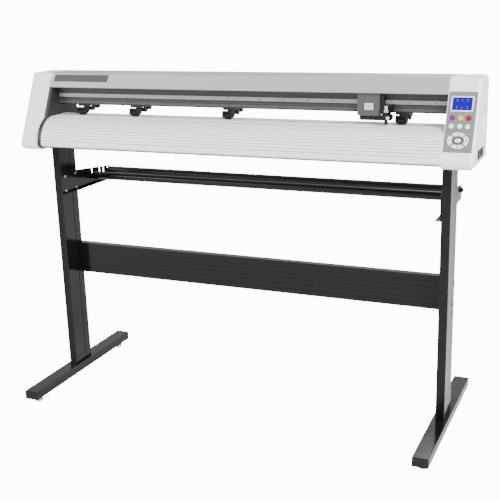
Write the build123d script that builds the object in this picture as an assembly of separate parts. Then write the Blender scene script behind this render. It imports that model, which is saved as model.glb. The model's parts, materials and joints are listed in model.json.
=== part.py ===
"""Vinyl cutting plotter on a two-leg stand: one STEP file for each piece.

Frame: +X to the operator's right, +Y away from the operator, +Z up.
The origin is on the floor, under the middle of the machine. Millimetres.
"""
import math
import os

from build123d import *

os.makedirs("parts", exist_ok=True)

# ---------------------------------------------------------------- head sizes
MEDIA_W = 1360.0          # clear width between the two side plates
LEFT_T = 11.0             # thick left side frame
CHEEK_T = 2.0             # inner cheek of the right cover, at the platen's end
RIGHT_T = 4.0             # right side plate, inside the cover's mouth
RIGHT_COVER_W = 90.0      # width of the right end cover
COVER_WALL = 3.0
HEAD_BOTTOM = 864.5       # underside of the head above the floor
HEAD_H = 251.5
LOW_ROUND = 20.0          # rounding under the leaning front
HEAD_BACK = 108.0         # Y of the back of the head
FRONT_TOP_Y = -17.0       # Y of the top edge of the leaning front
FRONT_LEAN = 25.46        # degrees from vertical
END_ROUND = 12.0          # rounding round the outer end of a cover

SIDE_X = MEDIA_W / 2
LEFT_X = SIDE_X + LEFT_T
RIGHT_X = SIDE_X + CHEEK_T + RIGHT_T
HEAD_X = SIDE_X + RIGHT_COVER_W
HEAD_TOP = HEAD_BOTTOM + HEAD_H

# ---------------------------------------------------------------- platen
PLATEN_H = 109.0          # flat top above the underside of the head
PLATEN_RISE = 12.0        # lip of the platen above the underside of the head
PLATEN_R = 85.0           # big front curve
PLATEN_FLAT_Y = -45.0     # where the flat top turns into the front curve
PLATEN_BACK_Y = 35.0      # where the flat top turns into the back curve
PLATEN_BACK_R = 45.0
PLATEN_SKIRT = 13.0       # straight run below the back curve
PLATEN_LIP = 45.0         # lip turned back under the front
PLATEN_WALL = 3.0
RIB_COUNT = 11            # fine grooves along the front curve
RIB_FIRST = 16.0          # degrees round the curve from the top
RIB_STEP = 6.6
RIB_W = 2.4
RIB_DEPTH = 1.2
STRIP_W = 8.0             # groove of the cutting strip
STRIP_DEPTH = 1.2
RIM = 4.0                 # left side frame standing proud of the platen

PLATEN_TOP = HEAD_BOTTOM + PLATEN_H
CURVE_Z = PLATEN_TOP - PLATEN_R
PLATEN_LOW = HEAD_BOTTOM + PLATEN_RISE
LOW_R = CURVE_Z - PLATEN_LOW
PLATEN_FRONT_Y = PLATEN_FLAT_Y - PLATEN_R

# ---------------------------------------------------------------- feed
FEED_Y = -4.4             # grit shaft and pinch rollers
GRIT_R = 11.0
GRIT_W = 28.0
GRIT_PROUD = 0.6
GRIT_X = [-586.0, -378.0, -34.0, 180.0, 341.0, 535.0, 616.0]
SHAFT_R = 5.0
BUSH_R = 9.0
RUN_FIT = 0.05            # radial clearance of a running fit
PILLOW_X = [-206.0, 75.0, 430.0]
GRIT_Z = PLATEN_TOP + GRIT_PROUD - GRIT_R

PINCH_X = [-586.0, -378.0, -34.0, 535.0]
PINCH_R = 9.0
PINCH_W = 20.0
PINCH_GAP = 0.3           # pinch roller above the grit roller at rest
PINCH_Z = GRIT_Z + GRIT_R + PINCH_R + PINCH_GAP
AXLE_R = 2.0
PRONG_T = 6.5
PRONG_GAP = 0.5
PIVOT_Y = 41.0
PIVOT_DROP = 17.0         # pivot below the beam
PIVOT_R = 3.0
EAR_T = 4.0

# ---------------------------------------------------------------- beam
BEAM_Y = -2.0             # front face
BEAM_D = 60.0
BEAM_RISE = 34.5          # media slot between platen and beam
BEAM_H = 90.0
BEAM_WALL = 3.0
SLOT_W = 8.0              # slot along the underside of the beam
SLOT_Y = 28.5
RAIL_H = 12.0
RAIL_D = 8.0
RAIL_RISE = 26.0          # rail above the beam's underside
BEAM_Z = PLATEN_TOP + BEAM_RISE
BEAM_TOP = BEAM_Z + BEAM_H
RAIL_Z = BEAM_Z + RAIL_RISE
RAIL_FRONT = BEAM_Y - RAIL_D

# ---------------------------------------------------------------- belt drive
PULLEY_R = 9.0
PULLEY_W = 8.0
BELT_T = 1.5
BELT_W = 6.0
BELT_GAP = 0.1
BELT_Z = RAIL_Z + 43.0
BELT_Y = -12.0
IDLER_X = -SIDE_X + 25.0
DRIVE_X = SIDE_X + 44.0
MOTOR = 56.0              # side of a stepper motor
MOTOR_L = 42.0
MOTOR_GAP = 16.0          # feed motor to the left side frame

# ---------------------------------------------------------------- carriage
CAR_LEFT = 404.0          # left face of the carriage cover at rest
CAR_COVER_W = 70.0
CAR_COVER_TOP = RAIL_Z + 41.0
CAR_COVER_BOTTOM = RAIL_Z - 33.5
CAR_FRONT = -28.0
CAR_BACK = -12.5
BLOCK_FRONT = -22.0
POST_W = 12.0             # post between the cover and the tool
BLOCK_DOWN = 14.0         # bearing block below the rail
PLATE_T = 3.0
TOOL_X = CAR_LEFT + 94.5
TOOL_Y = -46.0
HOLDER_R = 5.5
HOUSING_W = 25.0          # housing that guides the tool
HOUSING_H = 22.0
TONGUE_W = 17.4
TONGUE_GAP = 0.3
KNOB_X = CAR_LEFT + 103.0
KNOB_Z = RAIL_Z - 35.0
KNOB_R = 5.0

# ---------------------------------------------------------------- stand
FOOT_L = 620.0
FOOT_W = 50.0
FOOT_H = 30.0
FOOT_WALL = 2.5
LEVEL_H = 20.0            # foot tube above the floor
LEVEL_Y = 268.0
STUD_R = 4.0
PAD_R = 13.0
PAD_H = 11.0
CAP_T = 3.0
COLUMN_T = 28.0
COLUMN_D = 100.0
COLUMN_FRONT = -47.0
COLUMN_WALL = 3.5
TOP_PLATE_T = 6.0
BAR_Z = 392.0             # underside of the crossbar
BAR_H = 110.0
BAR_D = 30.0
BAR_WALL = 2.5
BOSS_R = 7.0
BOLT_R = 4.0

COLUMN_X = SIDE_X - 10.5  # inner face of a column
LEG_X = COLUMN_X + COLUMN_T / 2
FOOT_TOP = LEVEL_H + FOOT_H
COLUMN_BACK = COLUMN_FRONT + COLUMN_D
BAR_FRONT = COLUMN_BACK - BAR_D
BOSS_Y = BAR_FRONT + BOSS_R + 1
BOSS_Z = [BAR_Z + 23, BAR_Z + BAR_H - 20]

# ---------------------------------------------------------------- roll holder
BRACKET_T = 3.0
BRACKET_Z = HEAD_BOTTOM - 169.5# underside of a roll bracket
BRACKET_REACH = 270.0     # Y of its back end
BRACKET_FRONT_H = 80.5
BRACKET_BACK_H = 47.0
FLANGE_W = 15.0
NOTCH_Y = [150.0, 200.8, 227.7, 256.3]
NOTCH_RISE = 32.5         # notch bottom centre above the bracket's underside
ROD_R = 13.75
ROD_AXLE_R = 5.0
ROD_GAP = 6.5             # tube end to bracket
BRACKET_SCREWS = [(-24.8, 60.7), (38.6, 60.7), (-24.8, 9.0), (38.6, 9.0)]
SCREW_R = 2.5
NOTCH_Z = BRACKET_Z + NOTCH_RISE
BRACKET_X = COLUMN_X - BRACKET_T

# ---------------------------------------------------------------- control panel
PANEL_X = SIDE_X + CHEEK_T + 0.5
PANEL_W = 81.0
PANEL_FROM = 42.7         # distances down the front from its top edge
PANEL_TO = 222.5
PANEL_T = 1.2
WINDOW_X = RIGHT_X + 3.0  # opening in the cover behind the panel
WINDOW_W = 69.0
WINDOW_FROM = 52.0
WINDOW_TO = 216.0
LCD_X = SIDE_X + 42.4
LCD_S = 79.3
LCD_W = 54.7
LCD_H = 41.0
KEY_X = [SIDE_X + place for place in (18.5, 42.2, 64.7)]
COLOUR_S = 120.8
COLOUR_R = 7.5
WHITE_S = 146.0
WHITE_R = 7.0
PAD_X = SIDE_X + 41.5
PAD_S = 187.5
PAD_RX = 30.2
PAD_RY = 23.8
PAD_IN_RX = 18.0
PAD_IN_RY = 13.5
PAD_BAR = 5.0             # gap between two arrow keys
OK_RX = 9.2
OK_RY = 5.7
KEY_PROUD = 1.3
KEY_GAP = 0.3
KEY_FLANGE = 1.2
KEY_DEPTH = 5.0
BOARD_Z = -6.5            # face of the key board below the front

# ---------------------------------------------------------------- right side
GRIP_Y = 45.0
GRIP_Z = HEAD_BOTTOM + 121.5
GRIP_RY = 44.0
GRIP_RZ = 38.0
GRIP_DEPTH = 15.0
INLET_Y = -1.0
INLET_Z = HEAD_BOTTOM + 32.5
INLET_W = 106.0
INLET_H = 31.0
SWITCH_DY = -28.0         # switch and socket from the inlet plate's middle
SOCKET_DY = 17.0
SOCKET_W = 25.0
SOCKET_H = 17.0
SOCKET_DEPTH = 14.0


# ================================================================ helpers
def front_y(z):
    """Y of the leaning front of the head at height z."""
    return FRONT_TOP_Y - (HEAD_TOP - z) * math.tan(math.radians(FRONT_LEAN))


def on_front(x, s, lift=0.0):
    """Plane on the leaning front: s down from its top edge, lift outwards."""
    lean = math.radians(FRONT_LEAN)
    normal = Vector(0, -math.cos(lean), math.sin(lean))
    down = Vector(0, -math.sin(lean), -math.cos(lean))
    spot = Vector(x, FRONT_TOP_Y, HEAD_TOP) + down * s + normal * lift
    return Plane(origin=spot, x_dir=(1, 0, 0), z_dir=normal)


def block(x0, x1, y0, y1, z0, z1):
    middle = Pos((x0 + x1) / 2, (y0 + y1) / 2, (z0 + z1) / 2)
    return middle * Box(x1 - x0, y1 - y0, z1 - z0)


def rod_x(r, x0, x1, y, z):
    return Pos((x0 + x1) / 2, y, z) * Rot(0, 90, 0) * Cylinder(r, x1 - x0)


def rod_y(r, y0, y1, x, z):
    return Pos(x, (y0 + y1) / 2, z) * Rot(90, 0, 0) * Cylinder(r, y1 - y0)


def rod_z(r, z0, z1, x, y):
    return Pos(x, y, (z0 + z1) / 2) * Cylinder(r, z1 - z0)


def along_x(section, x0, x1):
    """Extrude a section drawn in (Y, Z) from x0 to x1."""
    return Pos(x0, 0, 0) * extrude(Plane.YZ * section, amount=x1 - x0)


def corner(section, y, z):
    """The corner of a flat section nearest to (y, z)."""
    return min(section.vertices(), key=lambda v: math.hypot(v.X - y, v.Y - z))


def mirrored(shape):
    return mirror(shape, about=Plane.YZ)


def save(name, *shapes):
    solids = [s for shape in shapes for s in shape.solids()]
    whole = solids[0] if len(solids) == 1 else Compound(children=solids)
    export_step(whole, f"parts/{name}.step")


# ================================================================ sections
def head_outline():
    """Side view of the head."""
    low_y = front_y(HEAD_BOTTOM)
    face = make_face(Polyline(
        (low_y, HEAD_BOTTOM),
        (FRONT_TOP_Y, HEAD_TOP),
        (HEAD_BACK, HEAD_TOP),
        (HEAD_BACK, HEAD_BOTTOM),
        close=True))
    for y, z, r in ((low_y, HEAD_BOTTOM, LOW_ROUND), (FRONT_TOP_Y, HEAD_TOP, 7),
                    (HEAD_BACK, HEAD_TOP, 22), (HEAD_BACK, HEAD_BOTTOM, 8)):
        face = fillet(corner(face, y, z), r)
    return face


def platen_outline(grow):
    """Outer edge of the platen's front as a closed shape, grown by the given amount."""
    top = PLATEN_TOP + grow
    front = PLATEN_FRONT_Y - grow
    low = PLATEN_LOW - grow
    big = PLATEN_R + grow
    low_r = LOW_R + grow
    back = front + low_r + 28
    slope = math.sqrt(0.5)
    edges = [
        Line((back, low), (front + low_r, low)),
        ThreePointArc((front + low_r, low),
                      (front + low_r - low_r * slope, low + low_r - low_r * slope),
                      (front, CURVE_Z)),
        ThreePointArc((front, CURVE_Z),
                      (PLATEN_FLAT_Y - big * slope, CURVE_Z + big * slope),
                      (PLATEN_FLAT_Y, top)),
        Line((PLATEN_FLAT_Y, top), (PLATEN_FLAT_Y, CURVE_Z)),
        Line((PLATEN_FLAT_Y, CURVE_Z), (back, CURVE_Z)),
        Line((back, CURVE_Z), (back, low)),
    ]
    return make_face(edges)


def platen_section():
    """Open aluminium profile: lip, front curve, flat top, back curve, skirt."""
    wall = PLATEN_WALL
    slope = math.sqrt(0.5)
    back = PLATEN_BACK_Y + PLATEN_BACK_R
    back_z = PLATEN_TOP - PLATEN_BACK_R
    low_y = PLATEN_FRONT_Y + LOW_R
    lip_y = low_y + PLATEN_LIP
    low_in = LOW_R - wall
    big_in = PLATEN_R - wall
    back_in = PLATEN_BACK_R - wall
    edges = [
        Line((lip_y, PLATEN_LOW), (low_y, PLATEN_LOW)),
        ThreePointArc((low_y, PLATEN_LOW),
                      (low_y - LOW_R * slope, CURVE_Z - LOW_R * slope),
                      (PLATEN_FRONT_Y, CURVE_Z)),
        ThreePointArc((PLATEN_FRONT_Y, CURVE_Z),
                      (PLATEN_FLAT_Y - PLATEN_R * slope, CURVE_Z + PLATEN_R * slope),
                      (PLATEN_FLAT_Y, PLATEN_TOP)),
        Line((PLATEN_FLAT_Y, PLATEN_TOP), (PLATEN_BACK_Y, PLATEN_TOP)),
        ThreePointArc((PLATEN_BACK_Y, PLATEN_TOP),
                      (PLATEN_BACK_Y + PLATEN_BACK_R * slope, back_z + PLATEN_BACK_R * slope),
                      (back, back_z)),
        Line((back, back_z), (back, back_z - PLATEN_SKIRT)),
        Line((back, back_z - PLATEN_SKIRT), (back - wall, back_z - PLATEN_SKIRT)),
        Line((back - wall, back_z - PLATEN_SKIRT), (back - wall, back_z)),
        ThreePointArc((back - wall, back_z),
                      (PLATEN_BACK_Y + back_in * slope, back_z + back_in * slope),
                      (PLATEN_BACK_Y, PLATEN_TOP - wall)),
        Line((PLATEN_BACK_Y, PLATEN_TOP - wall), (PLATEN_FLAT_Y, PLATEN_TOP - wall)),
        ThreePointArc((PLATEN_FLAT_Y, PLATEN_TOP - wall),
                      (PLATEN_FLAT_Y - big_in * slope, CURVE_Z + big_in * slope),
                      (PLATEN_FRONT_Y + wall, CURVE_Z)),
        ThreePointArc((PLATEN_FRONT_Y + wall, CURVE_Z),
                      (low_y - low_in * slope, CURVE_Z - low_in * slope),
                      (low_y, PLATEN_LOW + wall)),
        Line((low_y, PLATEN_LOW + wall), (lip_y, PLATEN_LOW + wall)),
        Line((lip_y, PLATEN_LOW + wall), (lip_y, PLATEN_LOW)),
    ]
    face = make_face(edges)
    for i in range(RIB_COUNT):
        turn = RIB_FIRST + i * RIB_STEP
        centre = Pos(PLATEN_FLAT_Y, CURVE_Z) * Rot(0, 0, 90 + turn)
        face -= centre * Pos(PLATEN_R, 0) * Rectangle(2 * RIB_DEPTH, RIB_W)
    face -= Pos(TOOL_Y, PLATEN_TOP) * Rectangle(STRIP_W, 2 * STRIP_DEPTH)
    return face


# ================================================================ stand
def foot_tube():
    half = FOOT_L / 2 - CAP_T
    tube = block(LEG_X - FOOT_W / 2, LEG_X + FOOT_W / 2, -half, half, LEVEL_H, FOOT_TOP)
    inner = block(LEG_X - FOOT_W / 2 + FOOT_WALL, LEG_X + FOOT_W / 2 - FOOT_WALL,
                  -half - 1, half + 1, LEVEL_H + FOOT_WALL, FOOT_TOP - FOOT_WALL)
    tube = fillet(tube.edges().filter_by(Axis.Y), 1.5) - inner
    for y in (-LEVEL_Y, LEVEL_Y):
        nut = block(LEG_X - 8, LEG_X + 8, y - 8, y + 8, LEVEL_H + 1, LEVEL_H + 12)
        tube = tube + nut
        tube = tube - rod_z(STUD_R + RUN_FIT, LEVEL_H - 1, LEVEL_H + 13, LEG_X, y)
    return tube


def foot_caps():
    """Plastic caps pushed into both ends of the right foot tube."""
    half = FOOT_L / 2
    plug_w = FOOT_W - 2 * FOOT_WALL - 0.4
    plug_h = FOOT_H - 2 * FOOT_WALL - 0.4
    mid = LEVEL_H + FOOT_H / 2
    caps = []
    for end in (-1, 1):
        face = Pos(LEG_X, end * (half - CAP_T / 2), mid) * Box(FOOT_W, CAP_T, FOOT_H)
        face = fillet(face.edges().filter_by(Axis.Y), 1.5)
        plug = Pos(LEG_X, end * (half - CAP_T - 6), mid) * Box(plug_w, 12, plug_h)
        caps.append(face + plug)
    return caps


def levelling_foot(x, y):
    pad = rod_z(PAD_R, 0, PAD_H, x, y)
    pad = chamfer(pad.edges().sort_by(Axis.Z)[-1], 2)
    nut = Pos(x, y, PAD_H + 2.5) * extrude(RegularPolygon(8, 6), amount=5, both=False)
    nut = Pos(0, 0, -2.5) * nut
    stud = rod_z(STUD_R, PAD_H, LEVEL_H + 16, x, y)
    return pad + nut + stud


def column(side):
    """Grooved hollow profile with a plate on top for the head; side is -1 or 1."""
    mid_y = (COLUMN_FRONT + COLUMN_BACK) / 2
    inner = side * COLUMN_X
    outer = side * (COLUMN_X + COLUMN_T)
    section = Pos(side * LEG_X, mid_y) * RectangleRounded(COLUMN_T, COLUMN_D, 2.5)
    section -= Pos(side * LEG_X, mid_y) * Rectangle(COLUMN_T - 2 * COLUMN_WALL,
                                                    COLUMN_D - 2 * COLUMN_WALL)
    section -= Pos(inner, COLUMN_FRONT + 64) * Rectangle(3, 3)
    for share in (0.58, 0.85):
        section -= Pos(outer, COLUMN_FRONT + share * COLUMN_D) * Rectangle(3, 2.5)
    for dx in (-6, 0, 6):
        section -= Pos(side * LEG_X + dx, COLUMN_FRONT) * Rectangle(1.6, 1.6)
    post = Pos(0, 0, FOOT_TOP) * extrude(section, amount=HEAD_BOTTOM - TOP_PLATE_T - FOOT_TOP)
    x0, x1 = sorted((inner, inner + side * 84))
    post += block(x0, x1, COLUMN_FRONT, COLUMN_BACK, HEAD_BOTTOM - TOP_PLATE_T, HEAD_BOTTOM)
    for z in BOSS_Z:
        post -= rod_x(BOLT_R + 0.2, min(inner, outer) - 1, max(inner, outer) + 1, BOSS_Y, z)
    x0, x1 = sorted((inner - side, inner + side * (COLUMN_WALL + 1)))
    for y, dz in BRACKET_SCREWS:
        post -= rod_x(SCREW_R + 0.1, x0, x1, y, BRACKET_Z + dz)
    return post


def crossbar():
    mid = Pos(BAR_FRONT + BAR_D / 2, BAR_Z + BAR_H / 2)
    section = mid * RectangleRounded(BAR_D, BAR_H, 2)
    section -= mid * Rectangle(BAR_D - 2 * BAR_WALL, BAR_H - 2 * BAR_WALL)
    for z in BOSS_Z:
        section += Pos(BOSS_Y, z) * Circle(BOSS_R)
        section -= Pos(BOSS_Y, z) * Circle(BOLT_R)
    for i in range(5):
        section -= Pos(BAR_FRONT, BAR_Z + BAR_H * (i + 1) / 6) * Rectangle(2, 3)
    return along_x(section, -COLUMN_X, COLUMN_X)


def roll_bracket():
    """Right roll bracket: notched plate with a flange turned in at the bottom."""
    top_front = BRACKET_Z + BRACKET_FRONT_H
    top_back = BRACKET_Z + BRACKET_BACK_H
    plate = make_face(Polyline(
        (COLUMN_FRONT, BRACKET_Z),
        (BRACKET_REACH, BRACKET_Z),
        (BRACKET_REACH, top_back),
        (COLUMN_FRONT, top_front),
        close=True))
    for y in NOTCH_Y:
        plate -= Pos(y, NOTCH_Z) * Circle(ROD_AXLE_R + 0.1)
        plate -= Pos(y, NOTCH_Z + 30) * Rectangle(2 * (ROD_AXLE_R + 0.1), 60)
    for y, dz in BRACKET_SCREWS:
        plate -= Pos(y, BRACKET_Z + dz) * Circle(SCREW_R + 0.1)
    solid = along_x(plate, BRACKET_X, COLUMN_X)
    flange = block(BRACKET_X - FLANGE_W, COLUMN_X, COLUMN_FRONT, BRACKET_REACH,
                   BRACKET_Z, BRACKET_Z + BRACKET_T)
    return solid + flange


def stand_bolts():
    """Bolts and screws of the right-hand side."""
    pieces = []
    outer = COLUMN_X + COLUMN_T
    for z in BOSS_Z:
        head = rod_x(7, outer, outer + 4.5, BOSS_Y, z)
        head = fillet(head.edges().sort_by(Axis.X)[-1], 2)
        hexagon = Pos(outer + 2.5, BOSS_Y, z) * Rot(0, 90, 0) * extrude(RegularPolygon(3, 6), amount=3)
        shank = rod_x(BOLT_R - RUN_FIT, COLUMN_X - 22, outer, BOSS_Y, z)
        pieces.append(head + shank - hexagon)
    for y, dz in BRACKET_SCREWS:
        z = BRACKET_Z + dz
        head = rod_x(4.5, BRACKET_X - 2.2, BRACKET_X, y, z)
        head = fillet(head.edges().sort_by(Axis.X)[0], 1.2)
        pieces.append(head + rod_x(SCREW_R, BRACKET_X, COLUMN_X + COLUMN_WALL - 0.5, y, z))
    return pieces


def roll_rod(y):
    """Tube with a turned axle in each end and a collar outside each bracket."""
    tube_x = BRACKET_X - ROD_GAP
    tube = rod_x(ROD_R, -tube_x, tube_x, y, NOTCH_Z) - rod_x(ROD_R - 2, -tube_x - 1, tube_x + 1, y, NOTCH_Z)
    ends = []
    for side in (-1, 1):
        plug = rod_x(ROD_R - 2, tube_x - 14, tube_x, y, NOTCH_Z)
        axle = rod_x(ROD_AXLE_R, tube_x, COLUMN_X + 8, y, NOTCH_Z)
        collar = rod_x(8, COLUMN_X + 0.6, COLUMN_X + 6, y, NOTCH_Z)
        end = plug + axle + collar
        ends.append(end if side > 0 else mirrored(end))
    return [tube] + ends


# ================================================================ head frame
def side_outline(low):
    """Side plate, inset from the covers, down to the given height."""
    inset = COVER_WALL / math.cos(math.radians(FRONT_LEAN))
    top = HEAD_TOP - COVER_WALL
    back = HEAD_BACK - COVER_WALL
    behind = PLATEN_FLAT_Y - 20
    outline = make_face(Polyline(
        (behind, low),
        (back, low),
        (back, top),
        (front_y(top) + inset, top),
        (front_y(CURVE_Z + 40) + inset, CURVE_Z + 40),
        (behind, CURVE_Z + 40),
        close=True))
    for y, z, r in ((back, low, 5), (back, top, 19), (front_y(top) + inset, top, 4)):
        outline = fillet(corner(outline, y, z), r)
    return outline


def chassis():
    """Side plates joined by the sheet-metal base of the head."""
    shaft = Pos(FEED_Y, GRIT_Z) * Circle(BUSH_R)
    left = along_x(side_outline(HEAD_BOTTOM) + platen_outline(RIM) - shaft, -LEFT_X, -SIDE_X)
    right = along_x(side_outline(HEAD_BOTTOM + COVER_WALL) - shaft, SIDE_X + CHEEK_T, RIGHT_X)
    window = PULLEY_R + BELT_T + 3
    right -= block(SIDE_X, RIGHT_X + 1, BELT_Y - 7, BELT_Y + 7, BELT_Z - window, BELT_Z + window)
    pan_x = SIDE_X + CHEEK_T
    front = PLATEN_FRONT_Y + LOW_R + PLATEN_LIP
    pan = block(-SIDE_X, SIDE_X, front, HEAD_BACK - 3, HEAD_BOTTOM, HEAD_BOTTOM + 3)
    pan += block(-SIDE_X, SIDE_X, front, front + 3, HEAD_BOTTOM, PLATEN_LOW + 8)
    pan += block(-SIDE_X, SIDE_X, HEAD_BACK - 6, HEAD_BACK - 3, HEAD_BOTTOM, HEAD_BOTTOM + 40)
    pan += block(SIDE_X - 3, pan_x, front + 6, HEAD_BACK - 12, HEAD_BOTTOM + COVER_WALL, HEAD_BOTTOM + 12)
    return left + pan + right


def platen():
    shape = along_x(platen_section(), -SIDE_X, SIDE_X)
    for x in GRIT_X:
        shape -= block(x - GRIT_W / 2 - 3, x + GRIT_W / 2 + 3, FEED_Y - 9.3, FEED_Y + 9.3,
                       PLATEN_TOP - PLATEN_WALL - 1, PLATEN_TOP + 1)
    return shape


def end_cover(mouth, flange_x):
    """Hollow moulding with a hand grip, from its mouth to the outer end."""
    outline = head_outline()
    shell = along_x(outline, mouth, HEAD_X)
    shell = fillet(shell.faces().sort_by(Axis.X)[-1].edges(), END_ROUND)
    inside = along_x(offset(outline, amount=-COVER_WALL), mouth, HEAD_X - COVER_WALL)
    inside = fillet(inside.faces().sort_by(Axis.X)[-1].edges(), END_ROUND - COVER_WALL)
    ring = outline - offset(outline, amount=-COVER_WALL - 8)
    spot = Pos(GRIP_Y, GRIP_Z)
    bottom = HEAD_X - GRIP_DEPTH
    shell = shell - inside + along_x(ring, flange_x, flange_x + 2)
    wall = Ellipse(GRIP_RY + COVER_WALL, GRIP_RZ + COVER_WALL)
    shell += along_x(spot * wall, bottom - COVER_WALL, HEAD_X - COVER_WALL)
    pocket = along_x(spot * Ellipse(GRIP_RY, GRIP_RZ), bottom, HEAD_X + 1)
    pocket = fillet(pocket.faces().sort_by(Axis.X)[0].edges(), 6)
    return shell - pocket


def right_cover():
    """Moulding with the panel window, the inlet opening and the platen's end cheek."""
    shell = end_cover(SIDE_X, RIGHT_X)
    span = WINDOW_TO - WINDOW_FROM
    shell -= on_front(WINDOW_X + WINDOW_W / 2, WINDOW_FROM + span / 2, -6) * Pos(0, 0, 4) * Box(
        WINDOW_W, span, 8)
    shell -= block(HEAD_X - COVER_WALL - 1, HEAD_X + 1, INLET_Y - INLET_W / 2, INLET_Y + INLET_W / 2,
                   INLET_Z - INLET_H / 2, INLET_Z + INLET_H / 2)
    return shell + along_x(platen_outline(0), SIDE_X, SIDE_X + CHEEK_T)


def top_cover():
    """Aluminium profile over the beam: front lip, top and back."""
    lean = math.radians(FRONT_LEAN)
    normal = Vector(-math.cos(lean), math.sin(lean))
    down = Vector(-math.sin(lean), -math.cos(lean))
    lip = Vector(FRONT_TOP_Y, HEAD_TOP) + down * (PANEL_FROM + 8.3)
    outline = head_outline()
    ring = outline - offset(outline, amount=-2.5)
    keep = [lip + normal * 20, lip - normal * 12, Vector(0, BEAM_Z + 4), Vector(HEAD_BACK + 20, BEAM_Z + 4),
            Vector(HEAD_BACK + 20, HEAD_TOP + 20), Vector(lip.X - 20, HEAD_TOP + 20)]
    section = ring & make_face(Polyline(*[(p.X, p.Y) for p in keep], close=True))
    turn = [lip, lip - normal * 5.5, lip - normal * 5.5 - down * 2, lip - down * 2]
    turned = make_face(Polyline(*[(p.X, p.Y) for p in turn], close=True))
    return along_x(section, -LEFT_X, SIDE_X) + along_x(turned, -SIDE_X + 1, SIDE_X - 1)


def main_beam():
    mid = Pos(BEAM_Y + BEAM_D / 2, BEAM_Z + BEAM_H / 2)
    section = mid * Rectangle(BEAM_D, BEAM_H) - mid * Rectangle(BEAM_D - 2 * BEAM_WALL, BEAM_H - 2 * BEAM_WALL)
    for rise, width in ((12, 3), (20, 1.5), (46, 1.5), (60, 3)):
        section -= Pos(BEAM_Y, BEAM_Z + rise) * Rectangle(3, width)
    section -= Pos(SLOT_Y, BEAM_Z) * Rectangle(SLOT_W, 2 * BEAM_WALL + 1)
    beam = along_x(section, -SIDE_X, SIDE_X + CHEEK_T)
    pin = rod_y(3, BELT_Y - 6, BEAM_Y + 1, IDLER_X, BELT_Z)
    return beam + pin


def linear_rail():
    shape = block(-SIDE_X + 7, SIDE_X - 7, RAIL_FRONT, BEAM_Y, RAIL_Z, RAIL_Z + RAIL_H)
    for z in (RAIL_Z, RAIL_Z + RAIL_H):
        shape -= block(-SIDE_X, SIDE_X, RAIL_FRONT + 3, RAIL_FRONT + 5, z - 1, z + 1)
    return shape


# ================================================================ feed
def grit_shaft():
    shaft = rod_x(SHAFT_R, -LEFT_X - 5, RIGHT_X + 3, FEED_Y, GRIT_Z)
    for x in GRIT_X:
        roller = rod_x(GRIT_R, x - GRIT_W / 2, x + GRIT_W / 2, FEED_Y, GRIT_Z)
        shaft += chamfer(roller.edges().filter_by(GeomType.CIRCLE), 0.5)
    sleeve = -LEFT_X - MOTOR_GAP + 2
    shaft += rod_x(SHAFT_R + 3, sleeve, -LEFT_X - 3, FEED_Y, GRIT_Z)
    shaft += rod_x(3.2, sleeve - 10, sleeve, FEED_Y, GRIT_Z)
    return shaft


def shaft_bearings():
    """Flanged bushes in the side plates and pillow blocks under the platen."""
    bore = rod_x(SHAFT_R + RUN_FIT, -HEAD_X, HEAD_X, FEED_Y, GRIT_Z)
    pieces = []
    for inner, outer, flange in ((-SIDE_X, -LEFT_X, -1.5), (SIDE_X + CHEEK_T, RIGHT_X, 1.5)):
        bush = rod_x(BUSH_R, min(inner, outer), max(inner, outer), FEED_Y, GRIT_Z)
        bush += rod_x(BUSH_R + 2.5, min(outer, outer + flange), max(outer, outer + flange), FEED_Y, GRIT_Z)
        pieces.append(bush - bore)
    for x in PILLOW_X:
        pillow = block(x - 8, x + 8, FEED_Y - 13, FEED_Y + 13, HEAD_BOTTOM + 3, PLATEN_TOP - PLATEN_WALL)
        pieces.append(pillow - bore)
    return pieces


def stepper_motors():
    """Feed motor in the left cover and carriage motor in the right cover."""
    side = MOTOR / 2
    front = -LEFT_X - MOTOR_GAP
    body = block(front - MOTOR_L, front, FEED_Y - side, FEED_Y + side, GRIT_Z - side, GRIT_Z + side)
    body = chamfer(body.edges().filter_by(Axis.X), 4)
    body += rod_x(19, front, front + 1.6, FEED_Y, GRIT_Z)
    body -= rod_x(3.2 + RUN_FIT, front - 12, front + 3, FEED_Y, GRIT_Z)
    for y in (-23.5, 23.5):
        for z in (-23.5, 23.5):
            body += rod_x(3.5, front, -LEFT_X, FEED_Y + y, GRIT_Z + z)
    drive = block(DRIVE_X - side, DRIVE_X + side, 4, 4 + MOTOR_L, BELT_Z - side, BELT_Z + side)
    drive = chamfer(drive.edges().filter_by(Axis.Y), 4)
    drive += block(RIGHT_X, DRIVE_X + side, 0, 4, BELT_Z - side, BELT_Z + side)
    drive -= rod_y(3 + RUN_FIT, -1, 16, DRIVE_X, BELT_Z)
    return [body, drive]


def belt():
    """Toothed belt loop from the drive pulley to the idler."""
    reach = (DRIVE_X + IDLER_X) / 2
    span = DRIVE_X - IDLER_X
    inner = PULLEY_R + BELT_GAP
    loop = SlotCenterToCenter(span, 2 * (inner + BELT_T)) - SlotCenterToCenter(span, 2 * inner)
    plane = Plane(origin=(reach, BELT_Y + BELT_W / 2, BELT_Z), x_dir=(1, 0, 0), z_dir=(0, -1, 0))
    return extrude(plane * loop, amount=BELT_W)


def pulley(x):
    wheel = rod_y(PULLEY_R, BELT_Y - PULLEY_W / 2, BELT_Y + PULLEY_W / 2, x, BELT_Z)
    for end in (-1, 1):
        y = BELT_Y + end * (PULLEY_W / 2 + 0.5)
        wheel += rod_y(PULLEY_R + 2, y - 0.5, y + 0.5, x, BELT_Z)
    return wheel


def drive_pulley():
    return pulley(DRIVE_X) + rod_y(3, BELT_Y, 14, DRIVE_X, BELT_Z)


def idler_pulley():
    return pulley(IDLER_X) - rod_y(3 + RUN_FIT, BELT_Y - 9, BELT_Y + 9, IDLER_X, BELT_Z)


# ================================================================ pinch rollers
PIVOT_Z = BEAM_Z - PIVOT_DROP
ARM_HALF = PINCH_W / 2 + PRONG_GAP + PRONG_T
EAR_IN = 13.5


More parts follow.
